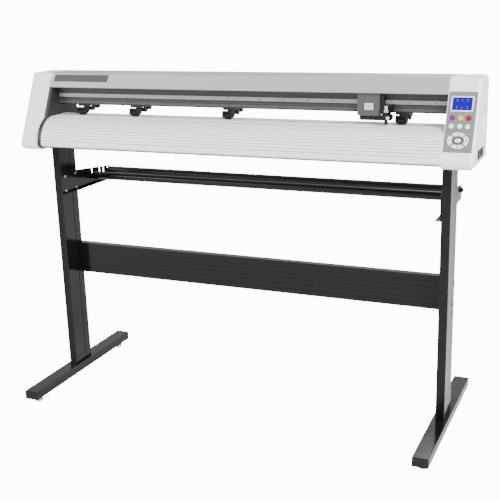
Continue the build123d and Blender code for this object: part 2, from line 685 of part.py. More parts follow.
def pinch_bracket(x):
    """Slides along the slot under the beam and carries the arm's pivot pin."""
    plate = block(x - 20, x + 20, 2, 56, BEAM_Z - 7, BEAM_Z - 0.3)
    neck = block(x - 18, x + 18, SLOT_Y - SLOT_W / 2 + 0.3, SLOT_Y + SLOT_W / 2 - 0.3,
                 BEAM_Z - 1, BEAM_Z + BEAM_WALL + 1)
    head = block(x - 18, x + 18, SLOT_Y - 7.5, SLOT_Y + 7.5, BEAM_Z + BEAM_WALL + 0.3, BEAM_Z + 7)
    shape = plate + neck + head
    for side in (-1, 1):
        inner = x + side * EAR_IN
        outer = x + side * (EAR_IN + EAR_T)
        shape += block(min(inner, outer), max(inner, outer), PIVOT_Y - 9, PIVOT_Y + 9,
                       PIVOT_Z - 8, BEAM_Z - 6)
    return shape + rod_x(PIVOT_R, x - EAR_IN - EAR_T, x + EAR_IN + EAR_T, PIVOT_Y, PIVOT_Z)


def pinch_arm(x):
    """Fork round the roller, arm back to the pivot, and a lever at the rear."""
    prong = make_face(Polyline((-14, -2.4), (-10, -4.9), (2, -4.9), (12, 0.6), (12, 12.6),
                               (-3, 12.6), (-3, 16.6), (-11, 16.6), (-14, 12.6), close=True))
    prong = Pos(0, PINCH_Z) * prong
    inner = PINCH_W / 2 + PRONG_GAP
    shape = along_x(prong, x + inner, x + ARM_HALF) + along_x(prong, x - ARM_HALF, x - inner)
    top = PINCH_Z + 12.6
    shape += block(x - ARM_HALF, x + ARM_HALF, -13, -3, PINCH_Z + PINCH_R + 1.4, PINCH_Z + 16.6)
    shape += block(x - ARM_HALF, x + ARM_HALF, -3.5, 12, PINCH_Z + PINCH_R + 1, top)
    shape += block(x - ARM_HALF, x + ARM_HALF, FEED_Y + PINCH_R + 1.2, 12, PINCH_Z - 3, top)
    shape += block(x - 13, x + 13, 8, PIVOT_Y + 8, PIVOT_Z - 6, top)
    shape += block(x - 6, x + 6, PIVOT_Y + 6, PIVOT_Y + 50, PIVOT_Z - 4.5, PIVOT_Z + 3)
    shape += block(x - 11, x + 11, PIVOT_Y + 38, PIVOT_Y + 52, PIVOT_Z - 5.5, PIVOT_Z + 4)
    shape += rod_x(AXLE_R, x - ARM_HALF, x + ARM_HALF, FEED_Y, PINCH_Z)
    return shape - rod_x(PIVOT_R + RUN_FIT, x - 20, x + 20, PIVOT_Y, PIVOT_Z)


def pinch_roller(x):
    wheel = rod_x(PINCH_R, x - PINCH_W / 2, x + PINCH_W / 2, FEED_Y, PINCH_Z)
    wheel = fillet(wheel.edges().filter_by(GeomType.CIRCLE), 1.5)
    return wheel - rod_x(AXLE_R + RUN_FIT, x - PINCH_W, x + PINCH_W, FEED_Y, PINCH_Z)


# ================================================================ carriage
BLOCK_X = CAR_LEFT + 4
BLOCK_BACK = BEAM_Y - 1
TOOL_FRONT = BLOCK_FRONT - PLATE_T


def carriage_block():
    """Bearing block on the rail, lower plate, post and tool housing in one casting."""
    block_top = RAIL_Z + RAIL_H + BLOCK_DOWN
    low = RAIL_Z - BLOCK_DOWN
    post_x = CAR_LEFT + CAR_COVER_W + 0.5
    end_x = post_x + POST_W
    shape = block(BLOCK_X, end_x, BLOCK_FRONT, BLOCK_BACK, low, block_top)
    shape += block(BLOCK_X + 3, end_x, TOOL_FRONT, BLOCK_FRONT, CAR_COVER_BOTTOM - 14, low + 10)
    shape += block(post_x, end_x, TOOL_FRONT, BLOCK_FRONT, low, CAR_COVER_TOP - 1)
    shape += block(post_x, end_x, TOOL_FRONT, BELT_Y - 4.5, block_top, CAR_COVER_TOP - 1)
    shape += block(end_x, end_x + 14, TOOL_FRONT, BELT_Y - 4.5, CAR_COVER_TOP - 16, CAR_COVER_TOP - 3)
    shape += block(post_x - 48, post_x - 18, BELT_Y - 5, BELT_Y + 7, block_top, block_top + 11)
    top = RAIL_Z - 0.3
    shape += block(end_x, end_x + HOUSING_W, TOOL_FRONT, BLOCK_BACK, top - HOUSING_H, top)
    shape -= block(BLOCK_X - 1, end_x + 1, RAIL_FRONT - 0.2, 0, RAIL_Z - 0.2, RAIL_Z + RAIL_H + 0.2)
    run = BELT_Z - PULLEY_R - BELT_GAP - BELT_T
    shape -= block(BLOCK_X - 1, post_x - 1, BELT_Y - BELT_W / 2 - 0.5, BELT_Y + BELT_W / 2 + 0.5,
                   run - 0.5, run + BELT_T + 0.5)
    half = TONGUE_W / 2 + TONGUE_GAP
    shape -= block(TOOL_X - half, TOOL_X + half, TOOL_FRONT - 1, TOOL_FRONT + 6, low - 40, low + 37)
    return shape


def carriage_cover():
    """Moulded hood over the bearing block: front, top and two sides."""
    x0 = CAR_LEFT
    x1 = CAR_LEFT + CAR_COVER_W
    hood = block(x0, x1, CAR_FRONT, CAR_BACK, CAR_COVER_BOTTOM, CAR_COVER_TOP)
    hood = fillet(hood.edges().filter_by(Axis.Z).sort_by(Axis.Y)[:2], 2.5)
    hood -= block(x0 + 2, x1 - 2, TOOL_FRONT - 0.5, 0, CAR_COVER_BOTTOM - 1, CAR_COVER_TOP - 2.5)
    low = RAIL_Z - BLOCK_DOWN
    hood -= block(x1 - 3, x1 + 1, TOOL_FRONT - 0.5, 0, CAR_COVER_BOTTOM - 1, low + 75)
    run = BELT_Z - PULLEY_R - BELT_T
    return hood - block(x0 - 1, x0 + 3, BELT_Y - 5, 0, run - 3, run + 4)


def tool_clamp():
    """Vertical tongue with the arms that hold the blade holder."""
    top = RAIL_Z - 0.6
    shape = block(TOOL_X - TONGUE_W / 2, TOOL_X + TONGUE_W / 2, TOOL_FRONT - 2,
                  TOOL_FRONT + 5.7, PLATEN_TOP + 18.5, top)
    low, high = KNOB_Z - 7, KNOB_Z + 7
    shape += block(TOOL_X - 9, KNOB_X + 8, TOOL_Y - 10, TOOL_FRONT - 1.5, low, high)
    shape += block(TOOL_X - 8, TOOL_X + 8, TOOL_Y - 8, TOOL_FRONT - 1.5, high + 4, high + 8.5)
    shape -= block(KNOB_X + 1.5, KNOB_X + 9, TOOL_Y + 6, TOOL_FRONT - 4, low - 1, high + 1)
    shape -= rod_z(HOLDER_R + RUN_FIT, low - 7, high + 14, TOOL_X, TOOL_Y)
    shape -= rod_y(2 + RUN_FIT, TOOL_Y - 12, TOOL_Y + 4, KNOB_X, KNOB_Z)
    return shape


def blade_holder():
    """Turned barrel with a grip ring, a spring cap and the blade tip."""
    tip = PLATEN_TOP + 4
    ring = KNOB_Z + 15.5
    shape = rod_z(HOLDER_R, tip + 2.9, ring, TOOL_X, TOOL_Y)
    shape += rod_z(6.6, ring, ring + 6.5, TOOL_X, TOOL_Y)
    shape += rod_z(4.4, ring + 6.5, ring + 18.5, TOOL_X, TOOL_Y)
    shape += Pos(TOOL_X, TOOL_Y, tip + 1.9) * Cone(3.4, HOLDER_R, 2)
    return shape + rod_z(0.6, tip, tip + 1.5, TOOL_X, TOOL_Y)


def clamp_knob():
    face = TOOL_Y - 10.3
    ball = Pos(KNOB_X, face - 3.5, KNOB_Z) * Sphere(KNOB_R)
    ball -= block(KNOB_X - 9, KNOB_X + 9, face, face + 20, KNOB_Z - 9, KNOB_Z + 9)
    return ball + rod_y(2, face - 1, TOOL_Y + 2, KNOB_X, KNOB_Z)


# ================================================================ control panel
def arrow_keys(grow):
    """The four arrow key outlines, grown by the given amount."""
    ring = Ellipse(PAD_RX + grow, PAD_RY + grow) - Ellipse(PAD_IN_RX - grow, PAD_IN_RY - grow)
    gap = (PAD_BAR - 2 * grow) / 2
    tilt = math.atan2(PAD_RY, PAD_RX)
    reach = 2 * PAD_RX
    keys = []
    for turn, half in ((90, math.pi / 2 - tilt), (-90, math.pi / 2 - tilt), (180, tilt), (0, tilt)):
        tip = gap / math.sin(half)
        wedge = make_face(Polyline((tip, 0), (tip + reach, reach * math.tan(half)),
                                   (tip + reach, -reach * math.tan(half)), close=True))
        keys.append(ring & Rot(0, 0, turn) * wedge)
    return keys


def key_outlines():
    """Name, place down the front, and outline of each key."""
    outlines = []
    for name, x in zip(("magenta", "yellow", "red"), KEY_X):
        outlines.append((f"key_{name}", x, COLOUR_S, lambda g: Circle(COLOUR_R + g)))
    for name, x in zip(("left", "middle", "right"), KEY_X):
        outlines.append((f"key_white_{name}", x, WHITE_S, lambda g: Circle(WHITE_R + g)))
    for i, name in enumerate(("up", "down", "left", "right")):
        outlines.append((f"key_arrow_{name}", PAD_X, PAD_S, lambda g, i=i: arrow_keys(g)[i]))
    outlines.append(("key_ok", PAD_X, PAD_S, lambda g: Ellipse(OK_RX + g, OK_RY + g)))
    return outlines


def panel_slab(x0, x1, s0, s1, z0, z1, radius=0.0):
    """Slab parallel to the leaning front, between two depths."""
    shape = RectangleRounded(x1 - x0, s1 - s0, radius) if radius else Rectangle(x1 - x0, s1 - s0)
    return extrude(on_front((x0 + x1) / 2, (s0 + s1) / 2, z0) * shape, amount=z1 - z0)


def control_panel():
    slab = panel_slab(PANEL_X, PANEL_X + PANEL_W, PANEL_FROM, PANEL_TO, 0, PANEL_T, 3)
    slab -= panel_slab(LCD_X - LCD_W / 2 - 0.2, LCD_X + LCD_W / 2 + 0.2,
                       LCD_S - LCD_H / 2 - 0.2, LCD_S + LCD_H / 2 + 0.2, -1, PANEL_T + 1)
    for name, x, s, outline in key_outlines():
        slab -= extrude(on_front(x, s, -1) * outline(KEY_GAP), amount=PANEL_T + 2)
    for x in (WINDOW_X + 3.5, WINDOW_X + WINDOW_W - 3.5):
        for s in (LCD_S + 29, WINDOW_TO - 3.5):
            slab += extrude(on_front(x, s, BOARD_Z) * Circle(2.5), amount=-BOARD_Z)
    return slab


def key(x, s, outline):
    cap = extrude(on_front(x, s, -KEY_DEPTH) * outline(0), amount=KEY_DEPTH + PANEL_T + KEY_PROUD)
    flange = extrude(on_front(x, s, -2.2) * outline(KEY_FLANGE), amount=1.9)
    return cap + flange


def display_window():
    half_w = LCD_W / 2
    half_h = LCD_H / 2
    body = panel_slab(LCD_X - half_w, LCD_X + half_w, LCD_S - half_h, LCD_S + half_h,
                      -6, PANEL_T + 0.6, 1.5)
    body += panel_slab(LCD_X - half_w - 2.5, LCD_X + half_w + 2.5,
                       LCD_S - half_h - 2.5, LCD_S + half_h + 2.5, -4, 0)
    return body - panel_slab(LCD_X - half_w + 3, LCD_X + half_w - 3,
                             LCD_S - half_h + 3, LCD_S + half_h - 3, PANEL_T, PANEL_T + 2)


def boards():
    """Key board behind the panel and main board on the right side plate."""
    keys = panel_slab(WINDOW_X + 1, WINDOW_X + WINDOW_W - 1, LCD_S + 25.5, WINDOW_TO - 0.5,
                      BOARD_Z - 1.6, BOARD_Z)
    low = HEAD_BOTTOM + 60.5
    main = block(RIGHT_X + 6, RIGHT_X + 7.6, -42, 62, low, low + 110)
    main += block(RIGHT_X + 7.6, RIGHT_X + 20, -30, -6, low + 25, low + 60)
    main += block(RIGHT_X + 7.6, RIGHT_X + 17, 10, 50, low + 5, low + 15)
    main += block(RIGHT_X + 7.6, RIGHT_X + 13, 0, 40, low + 65, low + 95)
    for y in (-35, 56):
        for z in (low + 6, low + 104):
            main += rod_x(3, RIGHT_X, RIGHT_X + 6.5, y, z)
    return [keys, main]


def power_supply():
    x0 = -HEAD_X + 13
    return chamfer(block(x0, -LEFT_X - 6, -75, 70, HEAD_BOTTOM + 3, HEAD_BOTTOM + 43).edges(), 1)


# ================================================================ power inlet
SWITCH_Y = INLET_Y + SWITCH_DY
SOCKET_Y = INLET_Y + SOCKET_DY
SWITCH_PIVOT_X = HEAD_X - 9


def power_inlet():
    """Plate in the side of the right cover with a switch opening and a socket."""
    gap = 0.3
    face = HEAD_X - 0.8
    plate = block(face - 2.4, face, INLET_Y - INLET_W / 2 + gap, INLET_Y + INLET_W / 2 - gap,
                  INLET_Z - INLET_H / 2 + gap, INLET_Z + INLET_H / 2 - gap)
    plate += block(HEAD_X - COVER_WALL - 2, HEAD_X - COVER_WALL, INLET_Y - INLET_W / 2 - 3,
                   INLET_Y + INLET_W / 2 + 3, INLET_Z - INLET_H / 2 - 3, INLET_Z + INLET_H / 2 + 3)
    plate += block(face - SOCKET_DEPTH - 3, face - 1, SOCKET_Y - SOCKET_W / 2 - 2,
                   SOCKET_Y + SOCKET_W / 2 + 2, INLET_Z - SOCKET_H / 2 - 2, INLET_Z + SOCKET_H / 2 + 2)
    plate -= block(face - SOCKET_DEPTH, face + 1, SOCKET_Y - SOCKET_W / 2, SOCKET_Y + SOCKET_W / 2,
                   INLET_Z - SOCKET_H / 2, INLET_Z + SOCKET_H / 2)
    for dy, dz in ((-7, -1.5), (0, 2.5), (7, -1.5)):
        plate += block(face - SOCKET_DEPTH - 1, face - 6, SOCKET_Y + dy - 1, SOCKET_Y + dy + 1,
                       INLET_Z + dz - 2, INLET_Z + dz + 2)
    plate -= block(HEAD_X - 30, HEAD_X + 1, SWITCH_Y - 7.5, SWITCH_Y + 7.5, INLET_Z - 11, INLET_Z + 11)
    cheek = block(HEAD_X - 15, HEAD_X - 4, SWITCH_Y - 9, SWITCH_Y - 7.5, INLET_Z - 8, INLET_Z + 8)
    cheek += rod_y(1.5, SWITCH_Y - 8, SWITCH_Y - 5, SWITCH_PIVOT_X, INLET_Z)
    other = mirror(cheek, about=Plane.XZ.offset(-SWITCH_Y))
    return plate + cheek + other


def power_switch():
    """Rocker, tipped to its off side at rest."""
    rocker = make_face(Polyline((-3, -6), (7, -9.8), (5.5, 0), (7, 9.8), (-3, 6), close=True))
    plane = Plane(origin=(SWITCH_PIVOT_X, SWITCH_Y + 7.1, INLET_Z), x_dir=(1, 0, 0), z_dir=(0, -1, 0))
    shape = extrude(plane * Rot(0, 0, -6) * rocker, amount=14.2)
    bore = rod_y(1.5 + RUN_FIT, SWITCH_Y - 9, SWITCH_Y - 4.5, SWITCH_PIVOT_X, INLET_Z)
    return shape - bore - mirror(bore, about=Plane.XZ.offset(-SWITCH_Y))


# ================================================================ write the pieces
def build_stand():
    foot = foot_tube()
    save("foot_tubes", foot, mirrored(foot))
    caps = foot_caps()
    save("foot_end_caps", *caps, *[mirrored(c) for c in caps])
    for side, sign in (("left", -1), ("right", 1)):
        for place, y in (("front", -LEVEL_Y), ("rear", LEVEL_Y)):
            save(f"levelling_foot_{place}_{side}", levelling_foot(sign * LEG_X, y))
    save("right_column", column(1))
    save("left_column", column(-1))
    save("crossbar", crossbar())
    bracket = roll_bracket()
    save("roll_brackets", bracket, mirrored(bracket))
    bolts = stand_bolts()
    save("stand_screws", *bolts, *[mirrored(b) for b in bolts])
    save("front_roll_rod", *roll_rod(NOTCH_Y[0]))
    save("rear_roll_rod", *roll_rod(NOTCH_Y[3]))


def build_head():
    save("chassis", chassis())
    save("platen", platen())
    save("left_end_cover", mirrored(end_cover(LEFT_X, LEFT_X)))
    save("right_end_cover", right_cover())
    save("top_cover", top_cover())
    save("main_beam", main_beam())
    save("linear_rail", linear_rail())
    save("grit_shaft", grit_shaft())
    save("shaft_bearings", *shaft_bearings())
    save("stepper_motors", *stepper_motors())
    save("carriage_belt", belt())
    save("drive_pulley", drive_pulley())
    save("idler_pulley", idler_pulley())
    save("power_supply", power_supply())
    save("circuit_boards", *boards())
    save("power_inlet", power_inlet())
    save("power_switch", power_switch())


def build_moving():
    for i, x in enumerate(PINCH_X, 1):
        save(f"pinch_bracket_{i}", pinch_bracket(x))
        save(f"pinch_arm_{i}", pinch_arm(x))
        save(f"pinch_roller_{i}", pinch_roller(x))
    save("carriage_block", carriage_block())
    save("carriage_cover", carriage_cover())
    save("tool_clamp", tool_clamp())
    save("blade_holder", blade_holder())
    save("clamp_knob", clamp_knob())


def build_panel():
    save("control_panel", control_panel())
    save("display_window", display_window())
    for name, x, s, outline in key_outlines():
        save(name, key(x, s, outline))


build_stand()
build_head()
build_moving()
build_panel()
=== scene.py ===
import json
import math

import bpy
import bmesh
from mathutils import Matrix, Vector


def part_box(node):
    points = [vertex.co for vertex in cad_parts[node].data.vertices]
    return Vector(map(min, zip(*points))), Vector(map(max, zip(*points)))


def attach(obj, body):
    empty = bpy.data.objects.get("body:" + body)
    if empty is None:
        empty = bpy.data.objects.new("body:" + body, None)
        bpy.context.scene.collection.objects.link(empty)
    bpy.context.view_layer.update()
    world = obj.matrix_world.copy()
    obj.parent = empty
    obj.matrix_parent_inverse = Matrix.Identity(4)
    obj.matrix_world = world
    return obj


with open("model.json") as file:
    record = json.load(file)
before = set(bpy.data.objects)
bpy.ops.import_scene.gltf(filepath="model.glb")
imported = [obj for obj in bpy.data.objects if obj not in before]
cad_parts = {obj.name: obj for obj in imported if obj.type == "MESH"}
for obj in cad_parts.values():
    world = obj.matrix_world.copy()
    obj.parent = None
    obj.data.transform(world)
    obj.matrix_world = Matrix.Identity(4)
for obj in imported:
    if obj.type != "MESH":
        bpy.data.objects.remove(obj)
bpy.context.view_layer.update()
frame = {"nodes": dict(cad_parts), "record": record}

# %% [markdown]
# ## A vinyl cutter around its frame
# The cutter is a long head on two slim columns. The frame brings every structural solid
# in its right place, so the work here is finish and small detail: paint, anodised metal,
# moulded plastic, screws, labels and the marks of the keys. Each new piece is built in
# metres, in the same frame, and rides on the body that carries it.

MM = 0.001

# %% [markdown]
# ## The camera
# A camera is a matrix: two directions for its sides, one for its back and a place. It is
# made first, so that every later step can be looked at from the same spot. The lens is
# long, about 67 mm, so the two columns stay nearly upright.

# %% Camera
CAMERA_PLACE = Vector((1.2202, -2.7148, 1.3856))
CAMERA_AZIMUTH, CAMERA_HEIGHT, CAMERA_ROLL = (math.radians(a) for a in (23.72, 15.94, -1.69))
CAMERA_LENS = 66.68


def make_camera():
    """Camera in front of the machine, to its right and a little above."""
    data = bpy.data.cameras.new("camera")
    data.lens = CAMERA_LENS
    data.sensor_width = 36
    camera = bpy.data.objects.new("camera", data)
    bpy.context.scene.collection.objects.link(camera)
    flat = math.cos(CAMERA_HEIGHT)
    back = Vector((math.sin(CAMERA_AZIMUTH) * flat, -math.cos(CAMERA_AZIMUTH) * flat,
                   math.sin(CAMERA_HEIGHT)))
    right = (-back).cross(Vector((0, 0, 1))).normalized()
    up = right.cross(-back)
    turn_c, turn_s = math.cos(CAMERA_ROLL), math.sin(CAMERA_ROLL)
    side, top = turn_c * right + turn_s * up, turn_c * up - turn_s * right
    place = Matrix((side, top, back)).transposed().to_4x4()
    place.translation = CAMERA_PLACE
    camera.matrix_world = place
    bpy.context.scene.camera = camera
    return camera


print("camera", make_camera().name, "lens", CAMERA_LENS)

# %% [markdown]
# ## Shared finish effects
# Paint, plastic and metal differ in colour, but wear and texture repeat. Three node
# groups hold those effects: a fine grain for moulded and powder-coated skins, long
# brushed lines for drawn metal, and soft handling marks that vary the gloss. Each group
# only puts out a value, and the shader itself stays in the material.

# %% Helper for building node trees


def add_node(tree, kind, place, **settings):
    """New node at a place in the tree, with its properties set."""
    node = tree.nodes.new(kind)
    node.location = place
    for key, value in settings.items():
        setattr(node, key, value)
    return node


def new_group(name, kind, inputs, outputs):
    """Empty node group with named sockets, and its two end nodes."""
    tree = bpy.data.node_groups.new(name, kind)
    for label, socket, default in inputs:
        made = tree.interface.new_socket(label, in_out="INPUT", socket_type=socket)
        if default is not None:
            made.default_value = default
    for label, socket in outputs:
        tree.interface.new_socket(label, in_out="OUTPUT", socket_type=socket)
    start = add_node(tree, "NodeGroupInput", (-900, 0))
    end = add_node(tree, "NodeGroupOutput", (700, 0))
    return tree, start, end


print("tree helpers ready")

# %% The three effect groups
VALUE = "NodeSocketFloat"


def grain_group():
    """Fine bumps of a moulded or powder-coated skin."""
    tree, start, end = new_group("fine grain", "ShaderNodeTree",
                                 [("Scale", VALUE, 900.0), ("Softness", VALUE, 0.5)],
                                 [("Height", VALUE), ("Shade", VALUE)])
    place = add_node(tree, "ShaderNodeTexCoord", (-700, 200))
    noise = add_node(tree, "ShaderNodeTexNoise", (-450, 100))
    noise.inputs["Detail"].default_value = 3.0
    shade = add_node(tree, "ShaderNodeMapRange", (200, -100))
    shade.inputs["To Min"].default_value = 0.35
    shade.inputs["To Max"].default_value = 0.65
    tree.links.new(place.outputs["Object"], noise.inputs["Vector"])
    tree.links.new(start.outputs["Scale"], noise.inputs["Scale"])
    tree.links.new(start.outputs["Softness"], noise.inputs["Roughness"])
    tree.links.new(noise.outputs["Fac"], end.inputs["Height"])
    tree.links.new(noise.outputs["Fac"], shade.inputs["Value"])
    tree.links.new(shade.outputs["Result"], end.inputs["Shade"])
    return tree


def brushed_group():
    """Long fine lines along X, as drawing and brushing leave them."""
    tree, start, end = new_group("brushed lines", "ShaderNodeTree",
                                 [("Scale", VALUE, 900.0), ("Softness", VALUE, 0.6)],
                                 [("Height", VALUE), ("Shade", VALUE)])
    place = add_node(tree, "ShaderNodeTexCoord", (-900, 200))
    stretch = add_node(tree, "ShaderNodeMapping", (-680, 200))
    stretch.inputs["Scale"].default_value = (0.012, 1.0, 1.0)
    noise = add_node(tree, "ShaderNodeTexNoise", (-450, 100))
    noise.inputs["Detail"].default_value = 2.0
    tree.links.new(place.outputs["Object"], stretch.inputs["Vector"])
    tree.links.new(stretch.outputs["Vector"], noise.inputs["Vector"])
    tree.links.new(start.outputs["Scale"], noise.inputs["Scale"])
    tree.links.new(start.outputs["Softness"], noise.inputs["Roughness"])
    tree.links.new(noise.outputs["Fac"], end.inputs["Height"])
    tree.links.new(noise.outputs["Fac"], end.inputs["Shade"])
    return tree


def marks_group():
    """Broad soft patches where hands and dust change the gloss."""
    tree, start, end = new_group("handling marks", "ShaderNodeTree",
                                 [("Scale", VALUE, 9.0)], [("Mask", VALUE)])
    place = add_node(tree, "ShaderNodeTexCoord", (-700, 200))
    noise = add_node(tree, "ShaderNodeTexNoise", (-450, 100))
    noise.inputs["Detail"].default_value = 4.0
    spread = add_node(tree, "ShaderNodeMapRange", (100, 0))
    spread.inputs["From Min"].default_value = 0.35
    spread.inputs["From Max"].default_value = 0.7
    tree.links.new(place.outputs["Object"], noise.inputs["Vector"])
    tree.links.new(start.outputs["Scale"], noise.inputs["Scale"])
    tree.links.new(noise.outputs["Fac"], spread.inputs["Value"])
    tree.links.new(spread.outputs["Result"], end.inputs["Mask"])
    return tree


SKIN = {"grain": grain_group(), "brushed": brushed_group()}
MARKS = marks_group()
print("effect groups", [tree.name for tree in (*SKIN.values(), MARKS)])

# %% [markdown]
# ## One maker for every finish
# A finish is a colour that drifts a little, a gloss that drifts more, and a skin height
# for the bump. One function builds that for all of them, from a row of plain numbers.
# Where a piece has bands or grooves in another tone, a second function adds them on top,
# so that the base of every material is the same and easy to compare.

# %% Finish maker
GLOSS_BELOW, GLOSS_ABOVE = 0.06, 0.08
GLOSS_LEAST = 0.03
BUMP_REACH = 0.0006


def finish(name, colour, rough, metal=0.0, skin="grain", scale=900.0, depth=0.05, drift=0.12,
           shine=0.5):
    """Material with a drifting colour and gloss over a fine skin."""
    made = bpy.data.materials.new(name)
    made.use_nodes = True
    tree = made.node_tree
    shader = tree.nodes["Principled BSDF"]
    shader.inputs["Metallic"].default_value = metal
    shader.inputs["Specular IOR Level"].default_value = shine
    surface = add_node(tree, "ShaderNodeGroup", (-900, 0), node_tree=SKIN[skin])
    surface.inputs["Scale"].default_value = scale
    marks = add_node(tree, "ShaderNodeGroup", (-900, -250), node_tree=MARKS)
    tone = add_node(tree, "ShaderNodeMix", (-600, 200), data_type="RGBA", label="tone")
    tone.inputs["A"].default_value = (*(c * (1 - drift) for c in colour), 1)
    tone.inputs["B"].default_value = (*(min(1.0, c * (1 + drift / 2)) for c in colour), 1)
    gloss = add_node(tree, "ShaderNodeMapRange", (-600, -150))
    gloss.inputs["To Min"].default_value = max(GLOSS_LEAST, rough - GLOSS_BELOW)
    gloss.inputs["To Max"].default_value = min(1.0, rough + GLOSS_ABOVE)
    bump = add_node(tree, "ShaderNodeBump", (-300, -350))
    bump.inputs["Strength"].default_value = depth
    bump.inputs["Distance"].default_value = BUMP_REACH
    tree.links.new(surface.outputs["Shade"], tone.inputs["Factor"])
    tree.links.new(tone.outputs["Result"], shader.inputs["Base Color"])
    tree.links.new(marks.outputs["Mask"], gloss.inputs["Value"])
    tree.links.new(gloss.outputs["Result"], shader.inputs["Roughness"])
    tree.links.new(surface.outputs["Height"], bump.inputs["Height"])
    tree.links.new(bump.outputs["Normal"], shader.inputs["Normal"])
    return made


print("finish maker ready")

# %% [markdown]
# ## The finishes of the machine
# The record names a finish for every structural node. The table gives each of them its
# colour (linear), gloss, metal and skin. The stand's lacquer is smooth with a faint orange
# peel, drawn aluminium gets brushed lines, and moulded plastic gets a tight grain.

# %% Table of finishes
FINISHES = {
    "stand_black": dict(colour=(0.0055, 0.0055, 0.0062), rough=0.15, scale=420, depth=0.05,
                        shine=0.21),
    "cap_black": dict(colour=(0.006, 0.006, 0.006), rough=0.5, depth=0.12, shine=0.25),
    "pad_grey": dict(colour=(0.42, 0.43, 0.45), rough=0.5, depth=0.1),
    "zinc": dict(colour=(0.55, 0.55, 0.57), rough=0.33, metal=1.0, scale=1500),
    "cover_white": dict(colour=(0.90, 0.90, 0.905), rough=0.36, scale=1300, depth=0.06,
                        drift=0.03),
    "frame_dark": dict(colour=(0.022, 0.022, 0.023), rough=0.42, scale=500, depth=0.12, shine=0.3),
    "platen_white": dict(colour=(0.93, 0.93, 0.94), rough=0.34, skin="brushed", depth=0.03,
                         drift=0.03),
    "top_silver": dict(colour=(0.36, 0.36, 0.365), rough=0.42, metal=0.15, skin="brushed",
                       depth=0.04, drift=0.07),
    "beam_grey": dict(colour=(0.070, 0.070, 0.071), rough=0.42, metal=0.3, skin="brushed",
                      depth=0.05, shine=0.35),
    "rail_steel": dict(colour=(0.32, 0.32, 0.325), rough=0.32, metal=0.6, skin="brushed"),
    "motor_black": dict(colour=(0.02, 0.02, 0.02), rough=0.5, scale=500),
    "bronze": dict(colour=(0.55, 0.36, 0.16), rough=0.4, metal=1.0),
    "panel_grey": dict(colour=(0.175, 0.178, 0.182), rough=0.45, scale=1600, depth=0.05,
                       drift=0.04, shine=0.3),
    "display": dict(colour=(0.014, 0.001, 0.26), rough=0.25, depth=0.0, drift=0.08, shine=0.05),
    "board_green": dict(colour=(0.02, 0.17, 0.07), rough=0.35, scale=500, drift=0.3),
    "supply_metal": dict(colour=(0.55, 0.55, 0.56), rough=0.38, metal=0.9, skin="brushed"),
    "inlet_grey": dict(colour=(0.05, 0.05, 0.052), rough=0.5, depth=0.1, shine=0.3),
    "belt_black": dict(colour=(0.018, 0.018, 0.018), rough=0.7, depth=0.15),
    "key_magenta": dict(colour=(0.20, 0.002, 0.20), rough=0.3, depth=0.02, shine=0.2),
    "key_yellow": dict(colour=(0.64, 0.61, 0.0), rough=0.3, depth=0.02, shine=0.15),
    "key_red": dict(colour=(0.34, 0.002, 0.006), rough=0.3, depth=0.02, shine=0.2),
    "key_white": dict(colour=(0.90, 0.90, 0.92), rough=0.32, depth=0.02, drift=0.04),
    "bracket_grey": dict(colour=(0.030, 0.030, 0.031), rough=0.42, metal=0.2, scale=700,
                         shine=0.3),
    "arm_black": dict(colour=(0.004, 0.004, 0.0045), rough=0.45, depth=0.1, shine=0.25),
    "roller_rubber": dict(colour=(0.012, 0.012, 0.012), rough=0.75, depth=0.2, shine=0.2),
    "rod_black": dict(colour=(0.005, 0.005, 0.0055), rough=0.33, skin="brushed", shine=0.3),
    "grit_steel": dict(colour=(0.26, 0.20, 0.06), rough=0.6, metal=0.2, scale=2200,
                       depth=0.5, drift=0.35, shine=0.2),
    "pulley_metal": dict(colour=(0.55, 0.55, 0.57), rough=0.35, metal=1.0),
    "carriage_black": dict(colour=(0.006, 0.006, 0.0065), rough=0.42, scale=600, shine=0.3),
    "hood_grey": dict(colour=(0.075, 0.075, 0.076), rough=0.4, depth=0.06, shine=0.3),
    "clamp_black": dict(colour=(0.005, 0.005, 0.0055), rough=0.4, shine=0.3),
    "holder_black": dict(colour=(0.6, 0.6, 0.6), rough=0.28, depth=0.03, shine=0.4),
    "knob_white": dict(colour=(0.80, 0.80, 0.80), rough=0.3, depth=0.02, drift=0.04),
    "switch_black": dict(colour=(0.02, 0.02, 0.02), rough=0.2, depth=0.02),
}
FINISH = {name: finish(name.replace("_", " "), **row) for name, row in FINISHES.items()}
print(len(FINISH), "finishes")

# %% [markdown]
# ## Bands and grooves
# The beam is one extrusion, and its bands in different tones are painted light and shade:
# lighter and darker strips where its faces catch more or less light. The blade holder has
# a black barrel, a yellow ring and a pale cap. The platen's fine grooves get painted shade,
# lines darker than its skin, and its lower lip a bluish painted shade. All three follow a
# rule of place, so the tone comes from the object's own coordinates: height for the beam,
# the holder and the platen's lower lip, and the angle round the platen's big curve for its
# grooves. A constant colour ramp draws the edges of the bands sharply.

# %% Tone by place


def object_axes(tree, place):
    """The three object coordinates as separate values."""
    where = add_node(tree, "ShaderNodeTexCoord", place)
    split = add_node(tree, "ShaderNodeSeparateXYZ", (place[0] + 180, place[1]))
    tree.links.new(where.outputs["Object"], split.inputs["Vector"])
    return split.outputs


def multiply_tone(made, factor_socket, kind="MULTIPLY"):
    """Put one more tone between the finish's colour and its shader."""
    tree = made.node_tree
    shader = tree.nodes["Principled BSDF"]
    before = shader.inputs["Base Color"].links[0].from_socket
    mix = add_node(tree, "ShaderNodeMix", (-200, 300), data_type="RGBA", blend_type=kind)
    mix.inputs["Factor"].default_value = 1.0
    tree.links.new(before, mix.inputs["A"])
    tree.links.new(factor_socket, mix.inputs["B"])
    tree.links.new(mix.outputs["Result"], shader.inputs["Base Color"])


COOL = 1.03         # a grey band is this much bluer than neutral


